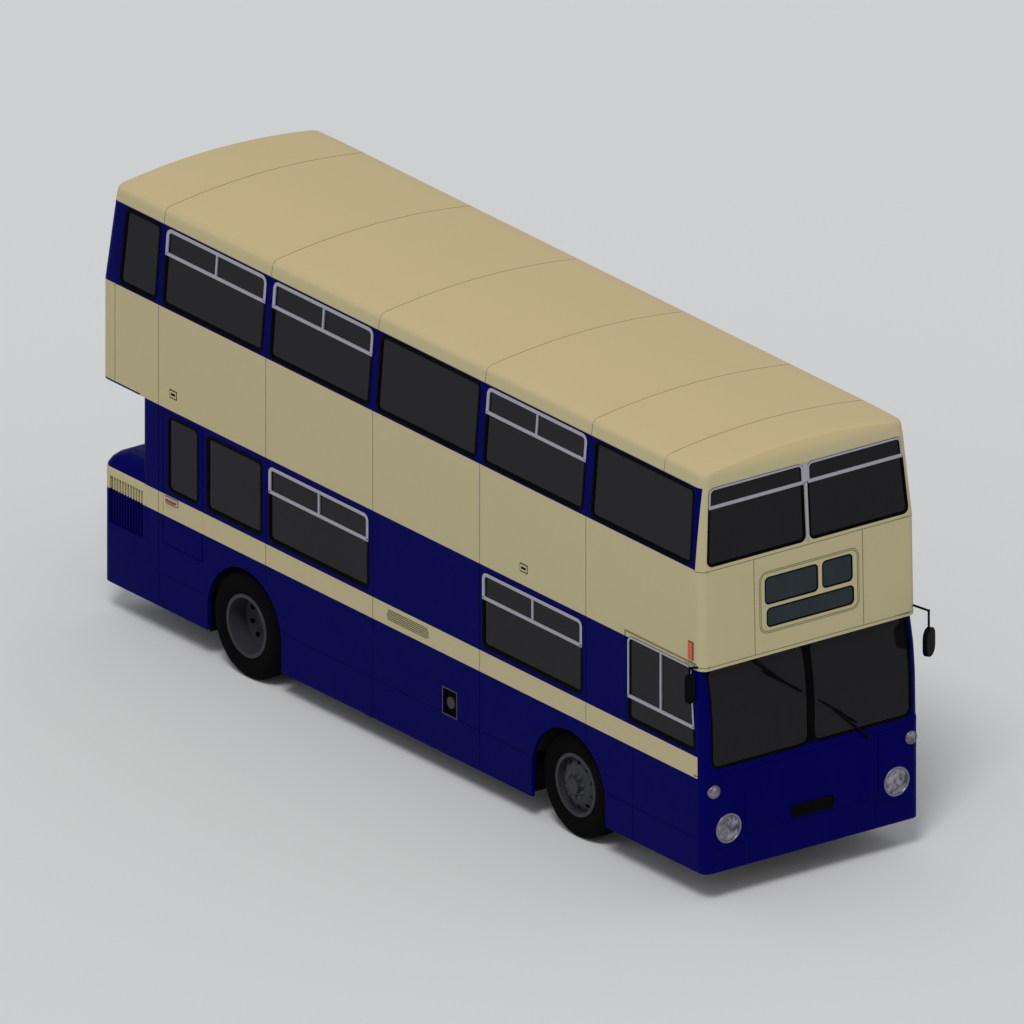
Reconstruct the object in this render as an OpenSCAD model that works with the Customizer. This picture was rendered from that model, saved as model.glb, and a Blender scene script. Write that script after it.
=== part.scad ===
// Rear-engined double decker bus. Millimetres, +X forward, +Y to the kerb (near) side,
// +Z up. The origin lies on the ground at the middle of the whole outline.

/* [Body] */
// Width over the side panels
bus_w = 2500; // [2100:10:2600]
// Distance of the front axle behind the front panel
front_overhang = 2109; // [2050:1:2400]
// Distance between the axles
wheelbase = 5015; // [4300:1:6100]
// Length of the body behind the rear axle
rear_overhang = 2216; // [2150:1:2700]
// Thickness of walls, with their pillars and lining
wall_t = 40; // [30:1:55]
// Radius of the upright corners in plan
corner_r = 90; // [60:1:100]

/* [Heights] */
// Underside of the skirt between the axles
skirt_z = 245; // [200:1:300]
// Underside of the skirt ahead of and behind the axles
overhang_z = 305; // [280:1:340]
// Top of the lower saloon floor
floor_z = 660; // [640:1:700]
// Underside of the cream waist band
waist_z = 1240; // [1200:1:1260]
// Sill of the lower windows
lower_sill_z = 1503; // [1480:1:1520]
// Height of the lower windows
lower_light_h = 753; // [600:1:760]
// Height of the blank panelling from the lower to the upper windows
between_h = 1076; // [1000:1:1290]
// Height of the upper windows
upper_light_h = 760; // [640:1:910]
// Height of the roof side above the upper windows
cant_h = 178; // [150:1:210]
// Rise of the roof from its sides to its middle
crown_h = 80; // [60:1:100]
// Inward lean of the upper sides, in degrees
side_lean = 4.7; // [0:0.1:5]

/* [Doors] */
// Front edge of the entrance, behind the front panel
entrance_d = 250; // [240:1:300]
// Width of the entrance
entrance_w = 1200; // [1000:10:1210]
// Width of the emergency door
emergency_w = 623; // [560:1:640]
// Gap round each moving panel
door_gap = 7; // [6:0.5:10]
// Thickness of an entrance door leaf
leaf_t = 24; // [20:1:26]

/* [Wheels] */
// Radius of a tyre
tyre_r = 521; // [430:1:530]
// Width of a tyre
tyre_w = 262; // [220:1:280]
// Radius of the tyre's bead and the rim's seat
bead_r = 286; // [280:1:300]
// Gap between twin tyres
twin_gap = 50; // [40:1:60]
// Gap between a tyre and its wheel arch
arch_gap = 55; // [50:1:70]
// How far a front tyre is set in from the side panels
front_inset = 70; // [60:1:90]
// How far a rear tyre is set in from the side panels
rear_inset = 12; // [8:1:30]
// Steering lock to each side, in degrees
steer_lock = 35; // [20:1:38]

/* [Furniture] */
// Distance between seat rows
seat_pitch = 760; // [720:10:900]
// Width of a double seat
seat_w = 860; // [780:10:900]
// Number of risers in the staircase
risers = 8; // [7:1:10]
// Width of the staircase
stair_w = 620; // [560:10:700]

/* [Hidden] */

// Clearances
fit = 0.3;                      // between pieces that seat on each other
run = 0.2;                      // a pin in the hole that it turns in
over = 1;                       // how far a cut runs past a face
arc_n = 6;                      // flats to a rounded corner

// Overall sizes
half_w = bus_w / 2;
bus_l = front_overhang + wheelbase + rear_overhang;
lamp_proud = 12;                // how far lamps and plates stand out
mirror_d = -120;                // mirror head ahead of the front panel
mirror_w = 200;
mirror_h = 280;
mirror_t = 50;
mirror_side = 110;              // how far the mirrors reach past the sides
near_yaw = 31;                  // turn of each mirror head towards the driver
off_yaw = 20;
off_mirror_d = 158.5;            // the driver's mirror sits beside the front pillar
off_w = 96;
off_h = 290;
off_t = 36;
front_proud = -mirror_d + mirror_w / 2 * sin(near_yaw) + mirror_t / 2 * cos(near_yaw);
front_x = (bus_l + lamp_proud - front_proud) / 2;

// Bays: upright joints stand one pitch apart, three pitches being tied to the wheelbase;
// the last joint keeps its place ahead of the rear end
front_bay = front_overhang - 268;
bay_pitch = (wheelbase - 56) / 3;
joint_w = 52;                   // from a bay joint to the window beside it
function bay_d(k) = k < 4 ? front_bay + k * bay_pitch : bus_l - 887;

// Heights that follow
axle_z = tyre_r;
lower_head_z = lower_sill_z + lower_light_h;
lip_z = lower_head_z + 62;      // underside of the cream panel over the windscreen
upper_sill_z = lower_head_z + between_h;
deck_z = upper_sill_z - 19;     // where the sides start to lean
upper_head_z = upper_sill_z + upper_light_h;
cant_z = upper_head_z + 16;     // joint between the upper panels and the roof
shoulder_z = upper_head_z + cant_h;
roof_z = shoulder_z + crown_h;
floor_t = 40;
upper_floor_z = lower_head_z + 284;
upper_floor_t = 70;
ceiling_z = upper_floor_z - upper_floor_t;

// Rear end
saloon_d = bus_l - 610;         // back of the lower saloon
pod_d = bus_l - 790;            // front of the engine pod at the skirt
pod_top_z = 1590;
lid_front_d = saloon_d + 40;    // front edge of the engine bonnet
lid_t = 30;
lid_z = 580;                    // lower edge of the engine bonnet
lid_y = half_w - 250;
upper_rear_d = bus_l - 3;       // back of the upper saloon

// Lean of the front and rear, as setbacks from the front panel and the rear face
front_lower_set = [[skirt_z, 0], [1300, 0], [1330, 12], [1750, 20], [2020, 45], [lip_z, 106]];
front_upper_set = [[lip_z, 45], [deck_z, 70], [cant_z, 123], [shoulder_z, 140]];
function front_set(z, table) = lookup(z, table);
function side_set(z) = max(0, z - deck_z) * tan(side_lean);
function rear_set(z) = max(0, z - deck_z) * 0.1;

// Arches and wheels
arch_r = tyre_r + arch_gap - 6;
front_d = front_overhang;
rear_d = front_overhang + wheelbase;
front_wheel_y = half_w - front_inset - tyre_w / 2;
rear_outer_y = half_w - rear_inset - tyre_w / 2;
rear_inner_y = rear_outer_y - tyre_w - twin_gap;
rear_mid_y = (rear_outer_y + rear_inner_y) / 2;
kingpin_y = front_wheel_y - 100;
lock_reach = (tyre_w / 2 + 100);
sweep_r = norm([tyre_r, lock_reach]);
front_box_half = sweep_r + 50;
front_box_y = kingpin_y - (tyre_r * sin(steer_lock) + (tyre_w / 2 - 100) * cos(steer_lock)) - 30;
rear_box_half = tyre_r + 85;
rear_box_y = rear_inner_y - tyre_w / 2 - 35;
box_top_z = axle_z + tyre_r + 85;
box_t = 15;

// Doors
well_z = 390;                   // top of the entrance step
entrance_z0 = well_z + 8;
entrance_z1 = lower_head_z - 8;
leaf_w = (entrance_w - 4 * door_gap) / 4;
leaf_y = half_w - 12;           // outer face of the leaves
pin_r = 8;                      // pivot pins at a leaf's top and bottom
pin_reach = 15;
hinge_r = 5;                    // pin between two leaves
knuckle_r = 9;
emergency_d = rear_d + arch_r + 70;
emergency_z0 = 955;
emergency_z1 = lower_head_z + 30;
emergency_t = 34;

// ---------------------------------------------------------------- helpers

// One ring of points at height z: a rectangle with rounded corners
function corner(cx, cy, r, a0, z) =
    [for (i = [0:arc_n]) let (a = a0 + i * 90 / arc_n) [cx + r * cos(a), cy + r * sin(a), z]];
function ring(z, x1, x0, y, r) = concat(
    corner(x1 - r, y - r, r, 0, z), corner(x0 + r, y - r, r, 90, z),
    corner(x0 + r, r - y, r, 180, z), corner(x1 - r, r - y, r, 270, z));

// A closed solid through rings that all have the same number of points
module loft(rings) {
    n = len(rings[0]);
    m = len(rings);
    sides = [for (k = [0:m - 2], i = [0:n - 1]) let (j = (i + 1) % n)
        each [[k * n + i, (k + 1) * n + i, (k + 1) * n + j], [k * n + i, (k + 1) * n + j, k * n + j]]];
    polyhedron(
        points = [for (r = rings) each r],
        faces = concat([[for (i = [0:n - 1]) i]], sides,
            [[for (i = [n - 1:-1:0]) (m - 1) * n + i]]));
}

// An outline with rounded corners, from its sharp corners
function rounded(p, r, n = 6) = [for (i = [0:len(p) - 1]) let (
        b = p[i], a = p[(i + len(p) - 1) % len(p)], c = p[(i + 1) % len(p)],
        u = (a - b) / norm(a - b), v = (c - b) / norm(c - b), h = acos(u * v) / 2,
        q = b + (u + v) / norm(u + v) * r / sin(h),
        s = b + u * r / tan(h) - q, e = b + v * r / tan(h) - q,
        a0 = atan2(s[1], s[0]), turn = (atan2(e[1], e[0]) - a0 + 540) % 360 - 180)
    for (k = [0:n]) q + r * [cos(a0 + turn * k / n), sin(a0 + turn * k / n)]];
function rect(d0, d1, z0, z1) = [[d0, z0], [d0, z1], [d1, z1], [d1, z0]];

// Prisms: outlines are (distance behind the front, height) or (side, height)
module prism_y(pts, y0, y1)
    translate([0, y1, 0]) rotate([90, 0, 0])
        linear_extrude(y1 - y0) polygon([for (p = pts) [front_x - p[0], p[1]]]);
module prism_x(pts, d0, d1)
    translate([front_x - d1, 0, 0]) rotate([90, 0, 90]) linear_extrude(d1 - d0) polygon(pts);
module block(d0, d1, y0, y1, z0, z1)
    translate([front_x - d1, y0, z0]) cube([d1 - d0, y1 - y0, z1 - z0]);
module at(d, y, z) translate([front_x - d, y, z]) children();
module tube_y(d, z, r, y0, y1)
    at(d, y1, z) rotate([90, 0, 0]) cylinder(h = y1 - y0, r = r, $fn = 64);
module tube_x(y, z, r, d0, d1)
    at(d1, y, z) rotate([0, 90, 0]) cylinder(h = d1 - d0, r = r, $fn = 64);
module tube_z(d, y, r, z0, z1) at(d, y, z0) cylinder(h = z1 - z0, r = r, $fn = 48);
module rod(p, q, r) {
    v = q - p;
    translate(p) rotate([0, acos(v[2] / norm(v)), atan2(v[1], v[0])])
        cylinder(h = norm(v), r = r, $fn = 24);
}

// Body shells: a solid of the outer shape, set in by t all round
module lower_form(t = 0, z0 = skirt_z, z1 = lip_z)
    loft([for (z = concat([z0], [for (s = front_lower_set) if (s[0] > z0 && s[0] < z1) s[0]], [z1]))
        ring(z, front_x - front_set(z, front_lower_set) - t, front_x - saloon_d + t,
            half_w - t, corner_r - t)]);
module upper_form(t = 0, z0 = lip_z, z1 = cant_z)
    loft([for (z = concat([z0], [for (s = front_upper_set) if (s[0] > z0 && s[0] < z1) s[0]], [z1]))
        ring(z, front_x - front_set(z, front_upper_set) - t,
            front_x - upper_rear_d + rear_set(z) + t, half_w - side_set(z) - t, corner_r - t)]);
module lower_shell() difference() {
    lower_form();
    lower_form(wall_t, skirt_z - over, lip_z + over);
}
module upper_shell() difference() {
    upper_form();
    upper_form(wall_t, lip_z - over, cant_z + over);
}

// ---------------------------------------------------------------- windows

lower_r = 70;
light_r = 75;
cab_window = [[139, lower_sill_z - 13], [205, lip_z + 20], [1192, lip_z + 20], [1192, lower_sill_z - 13]];
door_window = rect(emergency_d + 74, emergency_d + 542, lower_sill_z, lower_head_z);
function bay_light(k, z0, z1) = rect(bay_d(k) + joint_w, bay_d(k + 1) - joint_w, z0, z1);
upper_lights = concat(
    [[[210, upper_sill_z], [240, upper_head_z], [front_bay - 66, upper_head_z], [front_bay - 66, upper_sill_z]]],
    [for (k = [0:3]) bay_light(k, upper_sill_z, upper_head_z)],
    [[[bay_d(4) + 37, upper_sill_z], [bay_d(4) + 37, upper_head_z],
      [upper_rear_d - 301, upper_head_z], [upper_rear_d - 267, upper_sill_z]]]);
offside_lights = [cab_window, bay_light(0, lower_sill_z, lower_head_z), bay_light(2, lower_sill_z, lower_head_z),
    rect(bay_d(3) + joint_w, emergency_d - 53, lower_sill_z, lower_head_z)];
nearside_lights = [for (k = [0:3]) bay_light(k, lower_sill_z, lower_head_z)];
screen_y = half_w - 90;
windscreens = [for (s = [-1, 1]) [[s * 20, 1330], [s * screen_y, 1330], [s * screen_y, lip_z], [s * 20, lip_z]]];
upper_screens = [for (s = [-1, 1])
    [[s * 24, upper_sill_z + 8], [s * (half_w - 80), upper_sill_z + 8],
     [s * (half_w - 140), upper_head_z + 8], [s * 24, upper_head_z + 8]]];
destination = rect(-557, 570, 2549, 3131);
rear_window = rect(-850, 850, pod_top_z + 90, lower_head_z - 30);
exit_half = 560;
exit_pin_z = upper_head_z - 40;
exit_pin_d = upper_rear_d - rear_set(exit_pin_z) - wall_t / 2;
exit_outline = rect(-exit_half, exit_half, upper_sill_z - 20, exit_pin_z + wall_t / 2 + door_gap);
exit_window = rect(70 - exit_half, exit_half - 70, upper_sill_z + 50, exit_pin_z - 50);

// ---------------------------------------------------------------- body panels

// Where the front panels end: an edge that follows the lean of the windscreen pillar
front_joint_d = 125;
front_zone = [[-over, 0], [-over, lip_z + 20], [195, lip_z + 20], [front_joint_d, 1280], [front_joint_d, 0]];
pod_zone = [[pod_d, 0], [pod_d + 20, 1045], [saloon_d - 20, pod_top_z + 110],
    [bus_l + 50, pod_top_z + 110], [bus_l + 50, 0]];
upper_front_d = 153;
upper_back_d = upper_rear_d - 190;

module arch(d, y0, y1) {
    tube_y(d, axle_z, arch_r, y0, y1);
    block(d - arch_r, d + arch_r, y0, y1, 0, axle_z);
}

module lower_side(side, lights) {
    y0 = side > 0 ? 0 : -half_w - over;
    y1 = side > 0 ? half_w + over : 0;
    difference() {
        intersection() {
            lower_shell();
            block(-over, saloon_d - wall_t, y0, y1, 0, lip_z);
        }
        prism_y(front_zone, y0, y1);
        prism_y(pod_zone, y0, y1);
        arch(front_d, y0, y1);
        arch(rear_d, y0, y1);
        block(0, front_d, y0, y1, 0, overhang_z);
        block(rear_d, bus_l, y0, y1, 0, overhang_z);
        for (l = lights) prism_y(rounded(l, lower_r), y0, y1);
    }
}
module filler_recess(y0, y1) block(filler_d - 103, filler_d + 103, y0, y1, 650, 900);
filler_d = 3948;
filler_z = 771;
cap_r = 58;

module offside_lower_panel() color("midnightblue") difference() {
    lower_side(-1, offside_lights);
    block(emergency_d, emergency_d + emergency_w, -half_w - over, -half_w + wall_t + over,
        emergency_z0, emergency_z1);
    emergency_pins();
    filler_recess(-half_w - over, -half_w + wall_t + over);
}
module nearside_lower_panel() color("midnightblue") difference() {
    lower_side(1, nearside_lights);
    block(entrance_d, entrance_d + entrance_w, half_w - wall_t - over, half_w + over,
        entrance_z0 - 6, entrance_z1);
    entrance_pins();
}
module upper_side(side) {
    y0 = side > 0 ? 0 : -half_w - over;
    y1 = side > 0 ? half_w + over : 0;
    difference() {
        intersection() {
            upper_shell();
            block(upper_front_d, upper_back_d, y0, y1, lip_z, cant_z);
        }
        for (l = upper_lights) prism_y(rounded(l, light_r), y0, y1);
        if (side < 0) {
            prism_y(rounded(cab_window, lower_r), y0, y1);
            emergency_pins();
        }
    }
}
module offside_upper_panel() color("wheat") upper_side(-1);
module nearside_upper_panel() color("wheat") upper_side(1);

flap_half = 730;                // the towing flap is outlined by a shallow groove
flap_top = 616;
flap_groove = 6;
head_y = half_w - 275;
head_z = 720;
head_r = 146;
side_lamp_y = half_w - 107.5;
side_lamp_z = 1120;
side_lamp_r = 66;
module front_lamp_places(grow) for (s = [-1, 1]) {
    tube_x(s * head_y, head_z, head_r + grow, -lamp_proud, 60);
    tube_x(s * side_lamp_y, side_lamp_z, side_lamp_r + grow, -lamp_proud, wall_t + 8);
}

module front_lower_panel() color("midnightblue") difference() {
    intersection() {
        lower_shell();
        prism_y(front_zone, -half_w - over, half_w + over);
        block(-over, 300, -half_w - over, half_w + over, overhang_z, lip_z);
    }
    for (w = windscreens) prism_x(rounded(w, 90), -over, 190);
    front_lamp_places(fit);
    prism_y(rounded(cab_window, lower_r), -half_w - over, -half_w + wall_t + over);
    for (s = [-1, 1]) block(-over, flap_groove, s * flap_half - 2, s * flap_half + 2, 0, flap_top);
    block(-over, flap_groove, -flap_half - 2, flap_half + 2, flap_top - 2, flap_top + 2);
}
module front_upper_panel() color("wheat") difference() {
    intersection() {
        upper_shell();
        block(-over, upper_front_d, -half_w - over, half_w + over, lip_z, cant_z);
    }
    for (w = upper_screens) prism_x(rounded(w, 60), -over, 200);
    prism_x(rounded(destination, 80), -over, 200);
    mirror_feet(fit);
}
module rear_upper_panel() color("wheat") difference() {
    intersection() {
        upper_shell();
        block(upper_back_d, bus_l, -half_w - over, half_w + over, lip_z, cant_z);
    }
    prism_x(exit_outline, upper_rear_d - 250, bus_l);
    tube_y(exit_pin_d, exit_pin_z, pin_r + run, -exit_half - pin_reach - over, exit_half + pin_reach + over);
}
module saloon_rear_wall() color("wheat") difference() {
    intersection() {
        lower_form();
        block(saloon_d - wall_t, saloon_d + over, -half_w, half_w, rail_top, lip_z);
    }
    prism_x(rounded(rear_window, 80), saloon_d - wall_t - over, saloon_d + over);
    for (s = [-1, 1]) prism_y(pod_zone, s > 0 ? half_w - wall_t : -half_w - over, s > 0 ? half_w + over : wall_t - half_w);
}

// ---------------------------------------------------------------- engine pod and its bonnet

pod_rise = [[overhang_z, 0], [1420, 0], [1470, 8], [1520, 34], [1560, 75], [pod_top_z, 150]];
module pod_form(t = 0, z0 = overhang_z)
    loft([for (s = pod_rise) ring(s[0] == overhang_z ? z0 : s[0] - (s[0] > 1500 ? t : 0),
        front_x - pod_d + 400, front_x - bus_l + s[1] + t, half_w - s[1] - t, 130 - t)]);
module pod_shell() difference() {
    pod_form();
    pod_form(lid_t, overhang_z - over);
}
module lid_zone(grow)
    block(lid_front_d - grow, bus_l + over, -lid_y - grow, lid_y + grow, lid_z - grow, pod_top_z + over);
module grille_zone(grow) for (s = [-1, 1])
    block(saloon_d - 71 - grow, bus_l - 100 + grow, min(s * half_w - s * 60, s * half_w + s * over),
        max(s * half_w - s * 60, s * half_w + s * over), 873 - grow, 1400 + grow);
module pod_part(y0, y1) color("midnightblue") difference() {
    intersection() {
        pod_shell();
        prism_y(pod_zone, y0, y1);
    }
    lid_zone(door_gap);
    grille_zone(fit);
    block(0, saloon_d + fit, -half_w + wall_t, half_w - wall_t, 0, pod_top_z + 200);
    tube_y(lid_pin_d, lid_pin_z, pin_r + run, -lid_y - pin_reach - over, lid_y + pin_reach + over);
}
pod_y = lid_y + door_gap;       // where the pod's sides meet the valance
module pod_offside_panel() pod_part(-half_w - over, -pod_y);
module pod_nearside_panel() pod_part(pod_y, half_w + over);
module rear_valance() pod_part(-pod_y, pod_y);
// The bonnet turns about its nosed front edge, on pins into the pod's sides
lid_pin_d = lid_front_d + lid_t / 2;
lid_pin_z = pod_top_z - lid_t / 2;
module side_grilles() color("midnightblue") for (s = [-1, 1]) scale([1, s, 1]) {
    difference() {
        block(saloon_d - 71, bus_l - 100, half_w - 30, half_w, 873, 1400);
        block(saloon_d - 30, bus_l - 130, half_w - 31, half_w + 1, 905, 1370);
    }
    for (i = [1:11]) block(saloon_d - 30 + i * 42 - 8, saloon_d - 30 + i * 42 + 8,
        half_w - 24, half_w - 6, 905 - over, 1370 + over);
}
module engine_bonnet() color("midnightblue") {
    intersection() {
        pod_shell();
        block(lid_pin_d, bus_l + over, -lid_y, lid_y, lid_z, pod_top_z + over);
    }
    tube_y(lid_pin_d, lid_pin_z, lid_t / 2, -lid_y, lid_y);
    tube_y(lid_pin_d, lid_pin_z, pin_r, -lid_y - pin_reach, lid_y + pin_reach);
}

// ---------------------------------------------------------------- roof

// Cross sections along the bus: the crown is a shallow arc, the shoulders are rounded
shoulder_r = 70;
function roof_section(d, inset, drop, lean, t) = let (
        y1 = half_w - side_set(cant_z) - inset - t,
        y2 = half_w - side_set(shoulder_z) - inset - t,
        y3 = y2 - shoulder_r,
        zb = cant_z, zs = shoulder_z - shoulder_r,
        side = concat([[y1, zb]], [for (i = [0:4]) let (a = i * 20)
            [y2 - shoulder_r * (1 - cos(a)), zs + shoulder_r * sin(a) - drop * sin(a)]]),
        top = [for (i = [4:-1:-4]) [y3 * i / 5, shoulder_z + crown_h * (1 - i * i / 25) - drop]],
        half = [for (p = side) [p[0], p[1] - (p[1] > zb ? t : 0)]],
        other = [for (i = [len(half) - 1:-1:0]) [-half[i][0], half[i][1]]])
    [for (p = concat(half, [for (q = top) [q[0], q[1] - t]], other))
        [front_x - d - lean * (p[1] - zb), -p[0], p[1]]];
roof_front_d = front_set(cant_z, front_upper_set);
roof_back_d = upper_rear_d - rear_set(cant_z);
front_lean = (front_set(shoulder_z, front_upper_set) - roof_front_d) / (shoulder_z - cant_z);
dome_drop = 26;                 // fall of the roof at its front and rear edges
dome_d = 720;                   // length of the front and rear domes
// Each section: distance behind the front, inset of its sides, fall, lean
roof_steps = concat(
    [for (i = [0:arc_n]) let (a = i * 90 / arc_n)
        [roof_front_d + corner_r * (1 - cos(a)), corner_r * (1 - sin(a)), dome_drop * (1 - 0.6 * sin(a)), front_lean]],
    [[(roof_front_d + dome_d) / 2, 0, dome_drop / 8, 0], [dome_d, 0, 0, 0],
     [upper_rear_d - dome_d, 0, 0, 0], [upper_rear_d - dome_d / 2, 0, dome_drop / 8, 0]],
    [for (i = [arc_n:-1:0]) let (a = i * 90 / arc_n)
        [roof_back_d - corner_r * (1 - cos(a)), corner_r * (1 - sin(a)), dome_drop * (1 - 0.6 * sin(a)), -0.1]]);
module roof_form(t)
    loft([for (s = roof_steps) roof_section(s[0] + (s[0] < bus_l / 2 ? t : -t), s[1], s[2], s[3], t)]);
module roof() color("wheat") difference() {
    roof_form(0);
    translate([0, 0, -over]) roof_form(30);
}

// ---------------------------------------------------------------- glass

glass_t = 8;
glass_in = 10;                  // how far the glass lies inside the panel's face
module upper_glass_skin() difference() {
    upper_form(glass_in);
    upper_form(glass_in + glass_t, lip_z - over, cant_z + over);
}
module lower_glass_skin() difference() {
    lower_form(glass_in, skirt_z, lip_z + 20);
    lower_form(glass_in + glass_t, skirt_z - over, lip_z + 20 + over);
}
module front_glass() color("dimgray") {
    intersection() {
        lower_glass_skin();
        union() for (w = windscreens) prism_x(rounded(w, 90), -over, 190);
        block(0, 300, -half_w, half_w, 1300, lip_z);
    }
    intersection() {
        upper_glass_skin();
        union() for (w = upper_screens) prism_x(rounded(w, 60), -over, 200);
    }
    intersection() {
        upper_glass_skin();
        prism_x(rounded(destination, 80), -over, 200);
    }
}
module side_glass() color("dimgray") {
    for (l = offside_lights) prism_y(rounded(l, lower_r), -half_w + glass_in, -half_w + glass_in + glass_t);
    for (l = nearside_lights) prism_y(rounded(l, lower_r), half_w - glass_in - glass_t, half_w - glass_in);
    intersection() {
        upper_glass_skin();
        union() for (l = upper_lights) prism_y(rounded(l, light_r), -half_w - over, half_w + over);
    }
}
module rear_glass() color("dimgray")
    prism_x(rounded(rear_window, 80), saloon_d - glass_in - glass_t, saloon_d - glass_in);

// ---------------------------------------------------------------- doors

// Four leaves in two pairs. Each pair folds inwards about its outer edge, on pins into the
// step and the header; its two leaves are hinged together on their outer faces.
leaf_mid_y = leaf_y - leaf_t / 2;
leaf_d = [for (i = [0:3]) entrance_d + door_gap * (i + 0.5) + i * leaf_w];
front_jamb_d = leaf_d[0] + leaf_t / 2;
rear_jamb_d = leaf_d[3] + leaf_w - leaf_t / 2;
front_fold_d = leaf_d[1] - door_gap / 2;
rear_fold_d = leaf_d[3] - door_gap / 2;
leaf_top = entrance_z1 - door_gap;
hinge_zs = [for (i = [0:2]) entrance_z0 + 150 + i * (leaf_top - entrance_z0 - 420) / 2];

// A leaf with its glazing, cut back round a fold hinge
module leaf(d0, fold_d, end_d) difference() {
    block(d0, d0 + leaf_w, leaf_y - leaf_t, leaf_y, entrance_z0, leaf_top);
    for (y = [[leaf_y - 8, leaf_y + over], [leaf_y - leaf_t - over, leaf_y - 16]])
        prism_y(rounded(rect(d0 + 45, d0 + leaf_w - 45, entrance_z0 + 120, entrance_z1 - 90), 40), y[0], y[1]);
    tube_z(fold_d, leaf_y, knuckle_r + 1, entrance_z0 - over, leaf_top + over);
    if (end_d > 0) block(min(end_d, end_d + (end_d - fold_d)), max(end_d, end_d + (end_d - fold_d)),
        leaf_y - leaf_t - over, leaf_y + over, entrance_z0 - over, leaf_top + over);
}
// The fold hinge: the outer leaf carries the pin, the inner leaf the sleeves round it
module knuckles(fold_d, side, lift) for (z = hinge_zs) {
    tube_z(fold_d, leaf_y, knuckle_r, z + lift, z + lift + 60);
    block(fold_d + (side > 0 ? 0 : -14), fold_d + (side > 0 ? 14 : 0), leaf_y - knuckle_r, leaf_y,
        z + lift, z + lift + 60);
}
module outer_leaf(d0, fold_d, jamb_d) {
    leaf(d0, fold_d, jamb_d);
    tube_z(jamb_d, leaf_mid_y, leaf_t / 2, entrance_z0, leaf_top);
    tube_z(jamb_d, leaf_mid_y, pin_r, entrance_z0 - pin_reach, entrance_z1 + pin_reach);
    knuckles(fold_d, jamb_d > fold_d ? 1 : -1, 0);
    for (z = hinge_zs) tube_z(fold_d, leaf_y, hinge_r, z + 30, z + 125);
}
module inner_leaf(d0, fold_d) {
    leaf(d0, fold_d, 0);
    difference() {
        knuckles(fold_d, d0 > fold_d ? 1 : -1, 62);
        tube_z(fold_d, leaf_y, hinge_r + run, entrance_z0, leaf_top);
    }
}
module entrance_pins() for (d = [front_jamb_d, rear_jamb_d])
    tube_z(d, leaf_mid_y, pin_r + run, entrance_z0 - pin_reach - over, entrance_z1 + pin_reach + over);
module front_door_outer_leaf() color("wheat") outer_leaf(leaf_d[0], front_fold_d, front_jamb_d);
module front_door_inner_leaf() color("wheat") inner_leaf(leaf_d[1], front_fold_d);
module rear_door_inner_leaf() color("wheat") inner_leaf(leaf_d[2], rear_fold_d);
module rear_door_outer_leaf() color("wheat") outer_leaf(leaf_d[3], rear_fold_d, rear_jamb_d);

// The emergency door swings outwards about a nosed front edge
emergency_pin_d = emergency_d + door_gap + emergency_t / 2;
emergency_mid_y = -half_w + emergency_t / 2;
module emergency_door() color("midnightblue") {
    difference() {
        block(emergency_pin_d, emergency_d + emergency_w - door_gap, -half_w, -half_w + emergency_t,
            emergency_z0 + door_gap, emergency_z1 - door_gap);
        prism_y(rounded(door_window, lower_r), -half_w - over, -half_w + glass_in);
        prism_y(rounded(door_window, lower_r), -half_w + glass_in + glass_t, -half_w + emergency_t + over);
    }
    tube_z(emergency_pin_d, emergency_mid_y, emergency_t / 2, emergency_z0 + door_gap, emergency_z1 - door_gap);
    tube_z(emergency_pin_d, emergency_mid_y, pin_r, emergency_z0 - pin_reach, emergency_z1 + pin_reach);
}
module emergency_pins()
    tube_z(emergency_pin_d, emergency_mid_y, pin_r + run, emergency_z0 - pin_reach - over, emergency_z1 + pin_reach + over);

// The upper emergency exit swings out and up about a nosed top edge
module upper_emergency_exit() color("wheat") {
    difference() {
        intersection() {
            upper_shell();
            prism_x(rect(door_gap - exit_half, exit_half - door_gap, upper_sill_z - 20 + door_gap, exit_pin_z),
                upper_rear_d - 250, bus_l);
        }
        difference() {
            prism_x(rounded(exit_window, 60), upper_rear_d - 250, bus_l + over);
            difference() {
                upper_form(glass_in);
                upper_form(glass_in + glass_t, lip_z - over, cant_z + over);
            }
        }
    }
    tube_y(exit_pin_d, exit_pin_z, wall_t / 2, door_gap - exit_half, exit_half - door_gap);
    tube_y(exit_pin_d, exit_pin_z, pin_r, -exit_half - pin_reach, exit_half + pin_reach);
}

// ---------------------------------------------------------------- floors and stairs

stair_top_d = bay_d(1) + 130;
tread_d = (bay_pitch - 200) / (risers - 1);
rise = (upper_floor_z - floor_z) / risers;
stair_y = -half_w + wall_t + fit;
module wheel_box(d, half, y) difference() {
    block(d - half - box_t, d + half + box_t, y - box_t, half_w - wall_t - fit, floor_z - floor_t, box_top_z + box_t);
    block(d - half, d + half, y, half_w, 0, box_top_z);
}
module box_space(d, half, y) for (s = [-1, 1]) scale([1, s, 1])
    block(d - half - box_t, d + half + box_t, y - box_t, half_w, 0, box_top_z);
well_y = half_w - 560;
floor_joint_d = front_d - front_box_half - box_t;
module floor_board(d0, d1)
    block(d0, d1, -half_w + wall_t + fit, half_w - wall_t - fit, floor_z - floor_t, floor_z);
module entrance_floor() color("gray") difference() {
    floor_board(corner_r + fit, floor_joint_d);
    block(entrance_d, entrance_d + entrance_w, well_y, half_w, 0, floor_z + over);
}
module lower_floor() color("gray") difference() {
    floor_board(floor_joint_d, saloon_d - wall_t - fit);
    box_space(front_d, front_box_half, front_box_y);
    box_space(rear_d, rear_box_half, rear_box_y);
    block(filler_d - 62, filler_d + 62, -half_w, -half_w + 152, 0, floor_z + over);
}
module wheel_boxes() color("gray") for (s = [-1, 1]) scale([1, s, 1]) {
    wheel_box(front_d, front_box_half, front_box_y);
    wheel_box(rear_d, rear_box_half, rear_box_y);
}
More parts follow.
